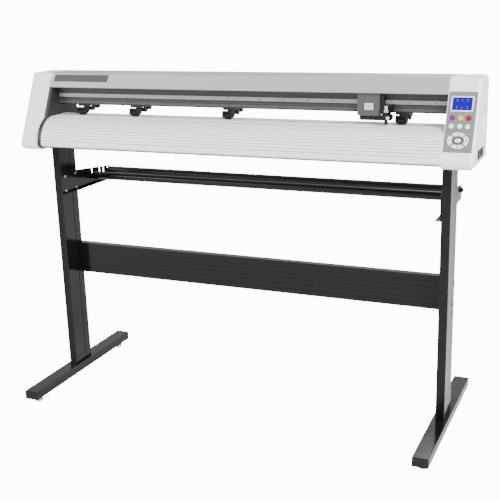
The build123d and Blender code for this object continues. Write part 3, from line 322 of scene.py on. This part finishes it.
def bands_by_height(made, low, high, stops):
    """Tones between two heights, given as (share of the height, grey) pairs."""
    tree = made.node_tree
    axes = object_axes(tree, (-1300, 500))
    share = add_node(tree, "ShaderNodeMapRange", (-900, 500))
    share.inputs["From Min"].default_value = low
    share.inputs["From Max"].default_value = high
    ramp = add_node(tree, "ShaderNodeValToRGB", (-650, 500))
    ramp.color_ramp.interpolation = "CONSTANT"
    while len(ramp.color_ramp.elements) < len(stops):
        ramp.color_ramp.elements.new(1.0)
    for element, (place, grey) in zip(ramp.color_ramp.elements, stops):
        element.position = place
        element.color = (grey, grey, grey * COOL, 1)
    tree.links.new(axes["Z"], share.inputs["Value"])
    tree.links.new(share.outputs["Result"], ramp.inputs["Fac"])
    multiply_tone(made, ramp.outputs["Color"])


# each band starts at a share of the beam's height and multiplies its colour by a grey;
# the bands are painted light and shade, lighter and darker strips where the extrusion's
# faces catch more or less light
BEAM_LOW, BEAM_HIGH = (v.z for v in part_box("main_beam"))
BEAM_LIGHT_AND_SHADE_BANDS = [(0.0, 0.35), (0.045, 1.25), (0.15, 0.45), (0.17, 0.95), (0.26, 0.5), (0.285, 0.8),
              (0.43, 1.0), (0.62, 0.75), (0.64, 1.0)]
bands_by_height(FINISH["beam_grey"], BEAM_LOW, BEAM_HIGH, BEAM_LIGHT_AND_SHADE_BANDS)
print("beam bands", len(BEAM_LIGHT_AND_SHADE_BANDS), "from", round(BEAM_LOW, 4), "to", round(BEAM_HIGH, 4))

# %% Tones of the blade holder: black barrel, yellow ring, pale cap
HOLDER_BANDS = [(0.0, (0.012, 0.012, 0.012)), (0.66, (1.1, 1.0, 0.03)), (0.78, (1.0, 1.0, 1.0))]


def tones_by_height(made, low, high, stops):
    """Like the bands above, with a colour at each stop."""
    bands_by_height(made, low, high, [(place, 1.0) for place, _ in stops])
    ramp = [n for n in made.node_tree.nodes if n.type == "VALTORGB"][-1].color_ramp
    for element, (_, colour) in zip(ramp.elements, stops):
        element.color = (*colour, 1)


tones_by_height(FINISH["holder_black"], *(v.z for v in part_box("blade_holder")), HOLDER_BANDS)
print("holder tones", len(HOLDER_BANDS))

# %% Painted shade in the grooves of the platen
# angles are in degrees, and the middle of the curve is its Y and Z in metres
GROOVE_FIRST, GROOVE_STEP, GROOVE_COUNT = 16.0, 6.6, 11
GROOVE_HALF_WIDTH = 0.14        # as a share of the step
GROOVE_SHADE = 0.62
BEFORE_FIRST, AFTER_LAST = 0.3, 0.3
CURVE_PLACE = (-0.045, 0.8885)


def groove_painted_shade(made):
    """Painted shade: darker lines at the grooves' angles round the platen's front curve."""
    tree = made.node_tree
    axes = object_axes(tree, (-1700, 600))

    def worked_out(kind, first, second):
        """One step of arithmetic on numbers or sockets."""
        node = add_node(tree, "ShaderNodeMath", (-1300, 600), operation=kind)
        for socket, value in zip(node.inputs, (first, second)):
            if isinstance(value, (int, float)):
                socket.default_value = value
            else:
                tree.links.new(value, socket)
        return node.outputs[0]

    out = worked_out("SUBTRACT", CURVE_PLACE[0], axes["Y"])
    up = worked_out("SUBTRACT", axes["Z"], CURVE_PLACE[1])
    turn = worked_out("MULTIPLY", worked_out("ARCTAN2", out, up), 180 / math.pi)
    steps = worked_out("DIVIDE", worked_out("SUBTRACT", turn, GROOVE_FIRST), GROOVE_STEP)
    near = worked_out("PINGPONG", steps, 0.5)
    line = worked_out("LESS_THAN", near, GROOVE_HALF_WIDTH)
    inside = worked_out("MULTIPLY", worked_out("GREATER_THAN", steps, -BEFORE_FIRST),
                        worked_out("LESS_THAN", steps, GROOVE_COUNT - 1 + AFTER_LAST))
    mask = worked_out("MULTIPLY", line, inside)
    grey = add_node(tree, "ShaderNodeMapRange", (-600, 600))
    grey.inputs["To Min"].default_value = 1.0
    grey.inputs["To Max"].default_value = GROOVE_SHADE
    tree.links.new(mask, grey.inputs["Value"])
    multiply_tone(made, grey.outputs["Result"])


groove_painted_shade(FINISH["platen_white"])
PLATEN_LOW, PLATEN_HIGH = (v.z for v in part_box("platen"))
# the darker, bluish strip along the platen's lower lip is painted shade
LIP_PAINTED_SHADE = [(0.0, (0.52, 0.52, 0.78)), (0.045, (1.0, 1.0, 1.0))]
tones_by_height(FINISH["platen_white"], PLATEN_LOW, PLATEN_HIGH, LIP_PAINTED_SHADE)
print("platen grooves", GROOVE_COUNT)

# %% Give every structural node its finish
for row in frame["record"]["subparts"]:
    node = frame["nodes"][row["node"]]
    node.data.materials.clear()
    node.data.materials.append(FINISH[row["material_slot"]])

# %% [markdown]
# ## Small pieces on the leaning front
# The front of the head leans back, so anything printed or glued to it is easier to
# describe by its place along the machine and its distance down the slope. One helper
# turns that pair into a point, and another raises a flat outline into a thin plate.

# %% The leaning front
LEAN = math.radians(25.46)
HEAD_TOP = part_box("right_end_cover")[1].z / MM
FRONT_TOP_Y = -17.0
SUNK = 0.1          # how far a thin plate is set into what it lies on, in mm


def on_front(x, down, lift=0.0):
    """Point on the leaning front, in mm, lifted off its surface."""
    return Vector((x, FRONT_TOP_Y - down * math.sin(LEAN) - lift * math.cos(LEAN),
                   HEAD_TOP - down * math.cos(LEAN) + lift * math.sin(LEAN)))


def add_piece(name, mesh, body, made):
    """Link a finished mesh as a piece that rides on a body."""
    piece = bpy.data.objects.new(name, mesh)
    bpy.context.scene.collection.objects.link(piece)
    mesh.materials.clear()
    mesh.materials.append(made)
    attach(piece, body)
    return piece


def raise_outline(name, outline, low, high, where, holes=()):
    """Thin plate from a flat outline: where(a, b, lift) gives each point in mm."""
    shell = bmesh.new()
    rings = []
    for lift in (low, high):
        rings.append([[shell.verts.new(where(a, b, lift) * MM) for a, b in loop]
                      for loop in (outline, *holes)])
    for loops, end in ((rings[0], 0), (rings[1], 1)):
        if len(loops) == 1:
            shell.faces.new(loops[0])
        else:
            edges = []
            for loop in loops:
                for first, second in zip(loop, loop[1:] + loop[:1]):
                    edges.append(shell.edges.new((first, second)))
            bmesh.ops.triangle_fill(shell, use_beauty=True, edges=edges)
    for under, over in zip(*rings):
        count = len(under)
        for i in range(count):
            j = (i + 1) % count
            shell.faces.new((under[i], under[j], over[j], over[i]))
    bmesh.ops.recalc_face_normals(shell, faces=shell.faces)
    mesh = bpy.data.meshes.new(name)
    shell.to_mesh(mesh)
    shell.free()
    return mesh


def rounded(a, b, width, height, radius, steps=6):
    """Outline of a rounded rectangle round (a, b)."""
    points = []
    for quarter, (sa, sb) in enumerate(((1, 1), (-1, 1), (-1, -1), (1, -1))):
        for step in range(steps + 1):
            turn = math.radians(90 * (quarter + step / steps))
            points.append((a + sa * (width / 2 - radius) + radius * math.cos(turn),
                           b + sb * (height / 2 - radius) + radius * math.sin(turn)))
    return points


def oval(a, b, ra, rb, count=64):
    """Outline of an ellipse round (a, b)."""
    return [(a + ra * math.cos(math.tau * i / count), b + rb * math.sin(math.tau * i / count))
            for i in range(count)]


print("front runs down from", HEAD_TOP, "mm")

# %% [markdown]
# ## Name plate, fairing, bezel and key marks
# The name plate is a slanted strip of dark film, left blank. The rounded fairing covers
# the corner where the white left cover meets the silver top. The display has a pale
# bezel. Inside the five-way pad, a dark ring of painted shade fills the groove round its
# centre key, and a thinner, fainter dark ring runs round its outside.
# Each is an outline on the slope, raised by less than a millimetre, so that it casts the
# thin edge that a printed or glued piece has.

# %% Finishes of the small pieces
PLATE_FILM = finish("plate film", (0.050, 0.050, 0.051), 0.4, drift=0.08, shine=0.3)
BEZEL = finish("bezel moulding", (0.72, 0.72, 0.80), 0.35, depth=0.03, drift=0.04)
# the pad ring's dark grey is painted shade in the groove round the centre key
PAD_GROOVE_SHADE = finish("pad groove shade", (0.085, 0.085, 0.088), 0.5, depth=0.02, shine=0.3)
# dark grey for the painted shadow lines round the grips, the thin dark ring round the pad and the
# printed bars of the hood label
EDGE_SHADE_AND_INK = finish("edge shade and ink", (0.17, 0.17, 0.175), 0.5, depth=0.02, shine=0.3)
PALE_INK = finish("pale ink", (0.40, 0.44, 0.80), 0.3, depth=0.0, drift=0.06)
DARK_INK = finish("dark ink", (0.05, 0.05, 0.06), 0.5, depth=0.0)
LABEL_FILM = finish("label film", (0.62, 0.63, 0.66), 0.4, depth=0.02, drift=0.05)

print("seven small finishes")

# %% Blank name plate
PLATE_OUTLINE = [(-673, 6.5), (-460.5, 6.5), (-464, 31.2), (-676, 31.2)]
add_piece("name_plate", raise_outline("name_plate", PLATE_OUTLINE, -0.2, 0.35, on_front),
          "stand", PLATE_FILM)
print("name plate with", len(PLATE_OUTLINE), "corners")

# %% Corner fairing
CORNER_R, CORNER_DOWN, CORNER_STEPS = 22.0, 5.0, 9
COVER_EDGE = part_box("left_end_cover")[1].x / MM - 0.2
corner = [(COVER_EDGE, CORNER_DOWN), (COVER_EDGE + CORNER_R, CORNER_DOWN)]
for step in range(1, CORNER_STEPS):
    turn = math.radians(90 * step / CORNER_STEPS)
    corner.append((COVER_EDGE + CORNER_R * (1 - math.sin(turn)),
                   CORNER_DOWN + CORNER_R * (1 - math.cos(turn))))
corner.append((COVER_EDGE, CORNER_DOWN + CORNER_R))
add_piece("corner_fairing", raise_outline("corner_fairing", corner, -0.2, 0.9, on_front),
          "stand", FINISH["cover_white"])
print("fairing edge at", round(COVER_EDGE, 1))

# %% Bezel of the display
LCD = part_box("display_window")
LCD_X = (LCD[0].x + LCD[1].x) / 2 / MM
LCD_W = (LCD[1].x - LCD[0].x) / MM
LCD_DOWN, LCD_H = 79.3, 41.0
PANEL_LIFT = 1.2
bezel = raise_outline(
    "display_bezel", rounded(LCD_X, LCD_DOWN, LCD_W + 5, LCD_H + 5, 2.5), PANEL_LIFT - SUNK,
    PANEL_LIFT + 0.9, on_front, [rounded(LCD_X, LCD_DOWN, LCD_W - 3, LCD_H - 3, 1.0)])
add_piece("display_bezel", bezel, "stand", BEZEL)
print("display at", round(LCD_X, 1))

# %% Rings of the five-way pad
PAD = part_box("key_arrow_left")[0].x / MM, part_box("key_arrow_right")[1].x / MM
PAD_X, PAD_DOWN = sum(PAD) / 2, 187.5
PAD_RX, PAD_RY = (PAD[1] - PAD[0]) / 2, 23.8
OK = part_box("key_ok")
OK_RX, OK_RY = (OK[1].x - OK[0].x) / 2 / MM - 1.2, 5.7
OK_GAP = 0.8
# the dark ring is painted shade in the groove between the centre key and the arrow keys
ring = raise_outline("pad_ring", oval(PAD_X, PAD_DOWN, 17.3, 12.9), PANEL_LIFT - SUNK,
                     PANEL_LIFT + 0.2, on_front,
                     [oval(PAD_X, PAD_DOWN, OK_RX + OK_GAP, OK_RY + OK_GAP)])
add_piece("pad_ring", ring, "stand", PAD_GROOVE_SHADE)
edge = raise_outline("pad_edge", oval(PAD_X, PAD_DOWN, PAD_RX + 1.4, PAD_RY + 1.4),
                     PANEL_LIFT - SUNK, PANEL_LIFT + 0.15, on_front,
                     [oval(PAD_X, PAD_DOWN, PAD_RX + 0.5, PAD_RY + 0.5)])
add_piece("pad_edge", edge, "stand", EDGE_SHADE_AND_INK)
print("pad", round(PAD_X, 1), "wide", round(PAD_RX * 2, 1))

# %% Painted shadow lines round the hand grips
GRIP_Y, GRIP_Z, GRIP_RY, GRIP_RZ = 45.0, 986.0, 44.0, 38.0
SHADOW_FROM, SHADOW_TO = 0.6, 2.6
END_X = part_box("right_end_cover")[1].x / MM
for side, name in ((1, "right"), (-1, "left")):
    def on_end(y, z, lift, side=side):
        """Point on the flat end of a cover, in mm, lifted off it."""
        return Vector((side * (END_X + lift), y, z))

    outside, inside = (oval(GRIP_Y, GRIP_Z, GRIP_RY + grow, GRIP_RZ + grow)
                       for grow in (SHADOW_TO, SHADOW_FROM))
    # each oval ring is painted shadow along the edge of the grip's recess
    shadow_ring = raise_outline("grip_shadow_line_" + name, outside, -SUNK, 0.15, on_end, [inside])
    add_piece("grip_shadow_line_" + name, shadow_ring, "stand", EDGE_SHADE_AND_INK)
print("two grip seams")

# %% Marks on the arrow keys
KEY_LIFT = 2.5
ARROW, ARROW_TAIL = 3.4, 0.4
MARK_REACH_X, MARK_REACH_DOWN = 24.2, 18.8
for name, da, db in (("up", 0, -1), ("down", 0, 1), ("left", -1, 0), ("right", 1, 0)):
    reach_x, reach_y = MARK_REACH_X * da, MARK_REACH_DOWN * db
    middle_x, middle_y = PAD_X + reach_x, PAD_DOWN + reach_y
    tail_x, tail_y = ARROW_TAIL * ARROW * da, ARROW_TAIL * ARROW * db
    outline = [(middle_x + ARROW * da, middle_y + ARROW * db),
               (middle_x - ARROW * db - tail_x, middle_y - ARROW * da - tail_y),
               (middle_x + ARROW * db - tail_x, middle_y + ARROW * da - tail_y)]
    mesh = raise_outline("mark_" + name, outline, KEY_LIFT - SUNK, KEY_LIFT + 0.12, on_front)
    add_piece("mark_" + name, mesh, "key_arrow_" + name, DARK_INK)
print("four arrow marks")

# %% [markdown]
# ## Pieces made by a rule
# Screw heads, belt teeth, knurls and the bars on the display all repeat one small shape.
# A node tree places a copy on every point of a mesh, turned to the point's own facing
# direction. The tree ends by making the copies real and giving them their finish, and the
# result is kept as a plain mesh, one for each body.

# %% Two helpers for the trees


def link_all(tree, pairs):
    """Join each output of a pair to its input."""
    for out, into in pairs:
        tree.links.new(out, into)


def finish_tree(tree, end, geometry, made):
    """Make the copies real and set their material."""
    real = add_node(tree, "GeometryNodeRealizeInstances", (300, 0))
    paint = add_node(tree, "GeometryNodeSetMaterial", (500, 0))
    paint.inputs["Material"].default_value = made
    link_all(tree, [(geometry, real.inputs["Geometry"]),
                    (real.outputs["Geometry"], paint.inputs["Geometry"]),
                    (paint.outputs["Geometry"], end.inputs["Geometry"])])


print("tree ends ready")

# %% Tree that puts a screw head on every point
HEAD_SIDES = 12
WELL_WIDTH, WELL_DEPTH = 0.5, 0.6       # shares of the head's width and height


def screw_tree(made):
    """Round head with a shallow well, on every point, along its facing."""
    tree, start, end = new_group(
        "screw heads", "GeometryNodeTree",
        [("Geometry", "NodeSocketGeometry", None), ("Head Radius", VALUE, 0.003),
         ("Head Height", VALUE, 0.0015)], [("Geometry", "NodeSocketGeometry")])
    disc = add_node(tree, "GeometryNodeMeshCircle", (-700, -200), fill_type="NGON")
    disc.inputs["Vertices"].default_value = HEAD_SIDES
    head = add_node(tree, "GeometryNodeExtrudeMesh", (-520, -200), mode="FACES")
    rim = add_node(tree, "GeometryNodeExtrudeMesh", (-340, -200), mode="FACES")
    rim.inputs["Offset Scale"].default_value = 0.0
    narrow = add_node(tree, "GeometryNodeScaleElements", (-160, -200), domain="FACE")
    narrow.inputs["Scale"].default_value = WELL_WIDTH
    well = add_node(tree, "GeometryNodeExtrudeMesh", (20, -200), mode="FACES")
    depth = add_node(tree, "ShaderNodeMath", (-340, -450), operation="MULTIPLY")
    depth.inputs[1].default_value = -WELL_DEPTH
    facing = add_node(tree, "GeometryNodeInputNamedAttribute", (-700, 250),
                      data_type="FLOAT_VECTOR")
    facing.inputs["Name"].default_value = "facing"
    turn = add_node(tree, "FunctionNodeAlignRotationToVector", (-500, 250), axis="Z")
    copies = add_node(tree, "GeometryNodeInstanceOnPoints", (150, 100))
    link_all(tree, [
        (start.outputs["Head Radius"], disc.inputs["Radius"]),
        (disc.outputs["Mesh"], head.inputs["Mesh"]),
        (start.outputs["Head Height"], head.inputs["Offset Scale"]),
        (head.outputs["Mesh"], rim.inputs["Mesh"]),
        (head.outputs["Top"], rim.inputs["Selection"]),
        (rim.outputs["Mesh"], narrow.inputs["Geometry"]),
        (rim.outputs["Top"], narrow.inputs["Selection"]),
        (narrow.outputs["Geometry"], well.inputs["Mesh"]),
        (rim.outputs["Top"], well.inputs["Selection"]),
        (start.outputs["Head Height"], depth.inputs[0]),
        (depth.outputs[0], well.inputs["Offset Scale"]),
        (facing.outputs["Attribute"], turn.inputs["Vector"]),
        (start.outputs["Geometry"], copies.inputs["Points"]),
        (well.outputs["Mesh"], copies.inputs["Instance"]),
        (turn.outputs["Rotation"], copies.inputs["Rotation"])])
    finish_tree(tree, end, copies.outputs["Instances"], made)
    return tree


print("screw head has", HEAD_SIDES, "sides")

# %% Tree that puts a small block on every point


def block_tree(made):
    """Small block on every point, turned along its facing; sizes are inputs."""
    tree, start, end = new_group(
        "small blocks", "GeometryNodeTree",
        [("Geometry", "NodeSocketGeometry", None), ("Size", "NodeSocketVector", None),
         ("Length Spread", VALUE, 0.0), ("Seed", "NodeSocketInt", 7)],
        [("Geometry", "NodeSocketGeometry")])
    cube = add_node(tree, "GeometryNodeMeshCube", (-700, -200))
    facing = add_node(tree, "GeometryNodeInputNamedAttribute", (-700, 250),
                      data_type="FLOAT_VECTOR")
    facing.inputs["Name"].default_value = "facing"
    turn = add_node(tree, "FunctionNodeAlignRotationToVector", (-500, 250), axis="Z")
    chance = add_node(tree, "FunctionNodeRandomValue", (-500, -450), data_type="FLOAT")
    least = add_node(tree, "ShaderNodeMath", (-700, -500), operation="SUBTRACT")
    least.inputs[0].default_value = 1.0
    stretch = add_node(tree, "ShaderNodeCombineXYZ", (-300, -450))
    stretch.inputs["Y"].default_value = 1.0
    stretch.inputs["Z"].default_value = 1.0
    chance.inputs[3].default_value = 1.0
    copies = add_node(tree, "GeometryNodeInstanceOnPoints", (100, 100))
    link_all(tree, [
        (start.outputs["Size"], cube.inputs["Size"]),
        (start.outputs["Length Spread"], least.inputs[1]),
        (least.outputs[0], chance.inputs[2]),
        (start.outputs["Seed"], chance.inputs["Seed"]),
        (chance.outputs[1], stretch.inputs["X"]),
        (stretch.outputs["Vector"], copies.inputs["Scale"]),
        (facing.outputs["Attribute"], turn.inputs["Vector"]),
        (start.outputs["Geometry"], copies.inputs["Points"]),
        (cube.outputs["Mesh"], copies.inputs["Instance"]),
        (turn.outputs["Rotation"], copies.inputs["Rotation"])])
    finish_tree(tree, end, copies.outputs["Instances"], made)
    return tree


print("block tree ready")

# %% From a tree to a plain mesh


def grown_on_points(name, points, tree, inputs, body):
    """Run a tree on points given as (place in mm, facing) and keep its plain mesh."""
    seeds = bpy.data.meshes.new(name + "_points")
    seeds.from_pydata([Vector(place) * MM for place, _ in points], [], [])
    facing = seeds.attributes.new("facing", "FLOAT_VECTOR", "POINT")
    facing.data.foreach_set("vector", [v for _, way in points for v in way])
    carrier = bpy.data.objects.new(name + "_carrier", seeds)
    bpy.context.scene.collection.objects.link(carrier)
    modifier = carrier.modifiers.new("grow", "NODES")
    modifier.node_group = tree
    sockets = {item.name: item.identifier for item in tree.interface.items_tree
               if item.in_out == "INPUT"}
    for label, value in inputs.items():
        modifier[sockets[label]] = value
    graph = bpy.context.evaluated_depsgraph_get()
    mesh = bpy.data.meshes.new_from_object(carrier.evaluated_get(graph), depsgraph=graph)
    mesh.name = name
    for spare in [a.name for a in mesh.attributes if a.name == "facing"]:
        mesh.attributes.remove(mesh.attributes[spare])
    made = [m for m in mesh.materials if m][0]
    for face in mesh.polygons:
        face.material_index = 0
    bpy.data.objects.remove(carrier)
    piece = add_piece(name, mesh, body, made)
    print(name, len(points), "copies,", len(mesh.polygons), "faces,", made.name)
    return piece


print("grower ready")

# %% Screws of the covers and the rail
SCREWS = screw_tree(FINISH["zinc"])
DARK_SCREWS = screw_tree(FINISH["frame_dark"])
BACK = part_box("right_end_cover")[1].y / MM
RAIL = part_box("linear_rail")
RAIL_FACE, RAIL_MIDDLE = RAIL[0].y / MM, (RAIL[0].z + RAIL[1].z) / 2 / MM
COVER_SCREW_X, COVER_SCREW_Z = (-752, -712, 706, 752), (905, 1080)
RAIL_SCREW_END, RAIL_SCREW_STEP = 640, 80

cover_points = [((x, BACK, z), (0, 1, 0)) for x in COVER_SCREW_X for z in COVER_SCREW_Z]
grown_on_points("cover_screws", cover_points, SCREWS,
                {"Head Radius": 3.4 * MM, "Head Height": 1.6 * MM}, "stand")
rail_points = [((x, RAIL_FACE, RAIL_MIDDLE), (0, -1, 0))
               for x in range(-RAIL_SCREW_END, RAIL_SCREW_END + 1, RAIL_SCREW_STEP)]
grown_on_points("rail_screws", rail_points, DARK_SCREWS,
                {"Head Radius": 1.9 * MM, "Head Height": 0.12 * MM}, "stand")

# %% Teeth of the carriage belt
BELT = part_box("carriage_belt")
BELT_Y = (BELT[0].y + BELT[1].y) / 2 / MM
BELT_THICK, TURN_LENGTH = 1.5, 14
LOW_RUN, HIGH_RUN = BELT[0].z / MM + BELT_THICK, BELT[1].z / MM - BELT_THICK
BELT_FROM, BELT_TO = BELT[0].x / MM + TURN_LENGTH, BELT[1].x / MM - TURN_LENGTH
TOOTH_PITCH = 5.0
teeth = []
for step in range(int((BELT_TO - BELT_FROM) / TOOTH_PITCH)):
    x = BELT_FROM + step * TOOTH_PITCH
    teeth += [((x, BELT_Y, LOW_RUN), (0, 0, 1)), ((x, BELT_Y, HIGH_RUN), (0, 0, -1))]
BLOCKS = {}
for label, made in (("belt", FINISH["belt_black"]), ("screen", PALE_INK), ("ink", EDGE_SHADE_AND_INK),
                    ("knurl", FINISH["zinc"])):
    BLOCKS[label] = block_tree(made)
grown_on_points("belt_teeth", teeth, BLOCKS["belt"],
                {"Size": (2.2 * MM, 5.6 * MM, 1.0 * MM)}, "stand")

# %% Bars on the display
OUT = tuple(Vector((0, -math.cos(LEAN), math.sin(LEAN))))


def bar_rows(columns, rows, pitch_x, pitch_down, x, down, lift):
    """Points in rows on the leaning front."""
    return [(on_front(x + column * pitch_x, down + line * pitch_down, lift), OUT)
            for line in range(rows) for column in range(columns)]


DISPLAY_FACE = 1.85
BAR_PITCH, LINE_PITCH = 15, 4.4
UPPER_LINES, LOWER_LINES = -13.0, 8.0
screen_points = []
for first_line in (UPPER_LINES, LOWER_LINES):
    screen_points += bar_rows(3, 2, BAR_PITCH, LINE_PITCH, LCD_X - BAR_PITCH,
                              LCD_DOWN + first_line, DISPLAY_FACE)
grown_on_points("display_bars", screen_points, BLOCKS["screen"],
                {"Size": (5.5 * MM, 0.6 * MM, 0.2 * MM), "Length Spread": 0.8, "Seed": 11},
                "stand")

# %% Knurl of the blade holder's ring
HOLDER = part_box("blade_holder")
HOLDER_X, HOLDER_Y = ((HOLDER[0][i] + HOLDER[1][i]) / 2 / MM for i in (0, 1))
HOLDER_R = (HOLDER[1].x - HOLDER[0].x) / 2 / MM
RING_UP, KNURL_COUNT = 40.2, 24
RING_Z = HOLDER[0].z / MM + RING_UP
knurl = []
for step in range(KNURL_COUNT):
    turn = math.tau * step / KNURL_COUNT
    way = (math.cos(turn), math.sin(turn), 0)
    knurl.append(((HOLDER_X + HOLDER_R * way[0], HOLDER_Y + HOLDER_R * way[1], RING_Z), way))
grown_on_points("holder_knurl", knurl, BLOCKS["knurl"],
                {"Size": (0.9 * MM, 0.9 * MM, 0.5 * MM)}, "tool")

# %% [markdown]
# ## On the carriage
# The hood carries a pale label, left with plain bars in place of words, and a small white
# knob stands beside the tool. The knob is a turned shape: its half-outline is swept round
# its own axis, which gives it a waist and a rounded rim.

# %% Hood label
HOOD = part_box("carriage_cover")
HOOD_FACE = HOOD[0].y / MM


def on_hood(x, z, lift=0.0):
    """Point on the hood's flat face, in mm, lifted off it."""
    return Vector((x, HOOD_FACE - lift, z))


HOOD_X = HOOD[0].x / MM
LABEL_AT, LABEL_Z = 37, 1028
LABEL_LINE = 4.5
LABEL_SHAPE = rounded(HOOD_X + LABEL_AT, LABEL_Z, 27, 20, 1.5)
label = raise_outline("hood_label", LABEL_SHAPE, -SUNK, 0.25, on_hood)
add_piece("hood_label", label, "carriage", LABEL_FILM)
label_bars = [((HOOD_X + LABEL_AT, HOOD_FACE - 0.3, LABEL_Z + LABEL_LINE * (1 - line)), (0, -1, 0))
              for line in range(3)]
grown_on_points("hood_label_bars", label_bars, BLOCKS["ink"],
                {"Size": (18 * MM, 1.1 * MM, 0.1 * MM), "Length Spread": 0.6, "Seed": 3},
                "carriage")

# %% Helper for turned shapes


def turned(name, profile, centre, axis, count=32):
    """Closed shape swept round an axis: profile is (radius, distance along it) in mm."""
    axis = Vector(axis)
    side = axis.orthogonal().normalized()
    other = axis.cross(side)
    shell = bmesh.new()
    rings = []
    for radius, along in profile:
        middle = Vector(centre) + axis * along
        if radius == 0:
            rings.append([shell.verts.new(middle * MM)])
        else:
            rings.append([shell.verts.new((middle + radius * (
                math.cos(math.tau * i / count) * side + math.sin(math.tau * i / count) * other)
            ) * MM) for i in range(count)])
    for lower, upper in zip(rings, rings[1:]):
        for i in range(count):
            j = (i + 1) % count
            corners = [lower[i % len(lower)], lower[j % len(lower)], upper[j % len(upper)],
                       upper[i % len(upper)]]
            shell.faces.new(list(dict.fromkeys(corners)))
    bmesh.ops.recalc_face_normals(shell, faces=shell.faces)
    mesh = bpy.data.meshes.new(name)
    shell.to_mesh(mesh)
    shell.free()
    return mesh


print("turning helper ready")

# %% Small white knob beside the tool
BLOCK_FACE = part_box("carriage_block")[0].y / MM
SIDE_KNOB_X, SIDE_KNOB_Z = 481, 1005
KNOB_PROFILE = [(0, 0), (1.2, 0), (1.2, 1.6), (2.4, 1.9), (2.9, 2.5), (2.9, 4.6), (2.5, 5.3),
                (1.6, 5.6), (0, 5.7)]
knob = turned("side_knob", KNOB_PROFILE, (SIDE_KNOB_X, BLOCK_FACE, SIDE_KNOB_Z),
              (0, -1, 0))
add_piece("side_knob", knob, "carriage", FINISH["knob_white"])
print("side knob", KNOB_PROFILE[-1][1], "mm long")

# %% [markdown]
# ## Floor, light and sky
# The machine stands on a plain pale floor in soft studio light: a large key light in front
# on the right, a weaker fill on the left, one lamp from behind for the top edges, one from
# the side for the right end, and an even white sky. The sky and the floor are brighter for
# the camera than for the machine, which keeps the ground white while the black stand
# stays black.

# %% Helper for a surface that is brighter to the camera
SKY_LIGHT, SKY_SEEN = 0.95, 13.0


def bright_to_camera(tree, base, glow_strength, output):
    """Mix a shader with a white glow that only camera rays see."""
    glow = add_node(tree, "ShaderNodeEmission", (0, -200))
    glow.inputs["Strength"].default_value = glow_strength
    rays = add_node(tree, "ShaderNodeLightPath", (0, 300))
    mix = add_node(tree, "ShaderNodeMixShader", (250, 0))
    link_all(tree, [(rays.outputs["Is Camera Ray"], mix.inputs["Fac"]),
                    (base, mix.inputs[1]), (glow.outputs["Emission"], mix.inputs[2]),
                    (mix.outputs["Shader"], output)])


print("sky lights", SKY_LIGHT, "and shows", SKY_SEEN)

# %% Floor
floor_mesh = bpy.data.meshes.new("floor")
REACH = 14.0
floor_mesh.from_pydata([(-REACH, -REACH, 0), (REACH, -REACH, 0), (REACH, REACH, 0),
                        (-REACH, REACH, 0)], [], [(0, 1, 2, 3)])
floor = bpy.data.objects.new("floor", floor_mesh)
bpy.context.scene.collection.objects.link(floor)
floor_paint = finish("floor paint", (0.82, 0.82, 0.82), 0.7, scale=40, drift=0.02)
floor_mesh.materials.append(floor_paint)
bright_to_camera(floor_paint.node_tree,
                 floor_paint.node_tree.nodes["Principled BSDF"].outputs["BSDF"], SKY_SEEN,
                 floor_paint.node_tree.nodes["Material Output"].inputs["Surface"])
print("floor", 2 * REACH, "m across")

# %% Sky and lamps
sky = bpy.data.worlds.new("sky")
sky.use_nodes = True
bpy.context.scene.world = sky
backdrop = sky.node_tree.nodes["Background"]
backdrop.inputs["Color"].default_value = (1, 1, 1, 1)
backdrop.inputs["Strength"].default_value = SKY_LIGHT
bright_to_camera(sky.node_tree, backdrop.outputs["Background"], SKY_SEEN,
                 sky.node_tree.nodes["World Output"].inputs["Surface"])

# each lamp has its place and width in metres, and its power in watts
LAMPS = {"key": ((3.2, -2.6, 3.4), 2.0, 300.0), "fill": ((-3.0, -3.4, 2.6), 2.5, 150.0),
         "back": ((0.5, 3.5, 3.2), 2.5, 60.0), "side": ((4.6, 0.2, 1.9), 1.5, 130.0)}
AIM = Vector((0.1, 0, 0.85))
for name, (place, size, power) in LAMPS.items():
    lamp = bpy.data.lights.new(name, "AREA")
    lamp.shape = "DISK"
    lamp.size = size
    lamp.energy = power
    holder = bpy.data.objects.new(name, lamp)
    bpy.context.scene.collection.objects.link(holder)
    holder.location = place
    holder.rotation_euler = (AIM - Vector(place)).to_track_quat("-Z", "Y").to_euler()
print("lamps", list(LAMPS))
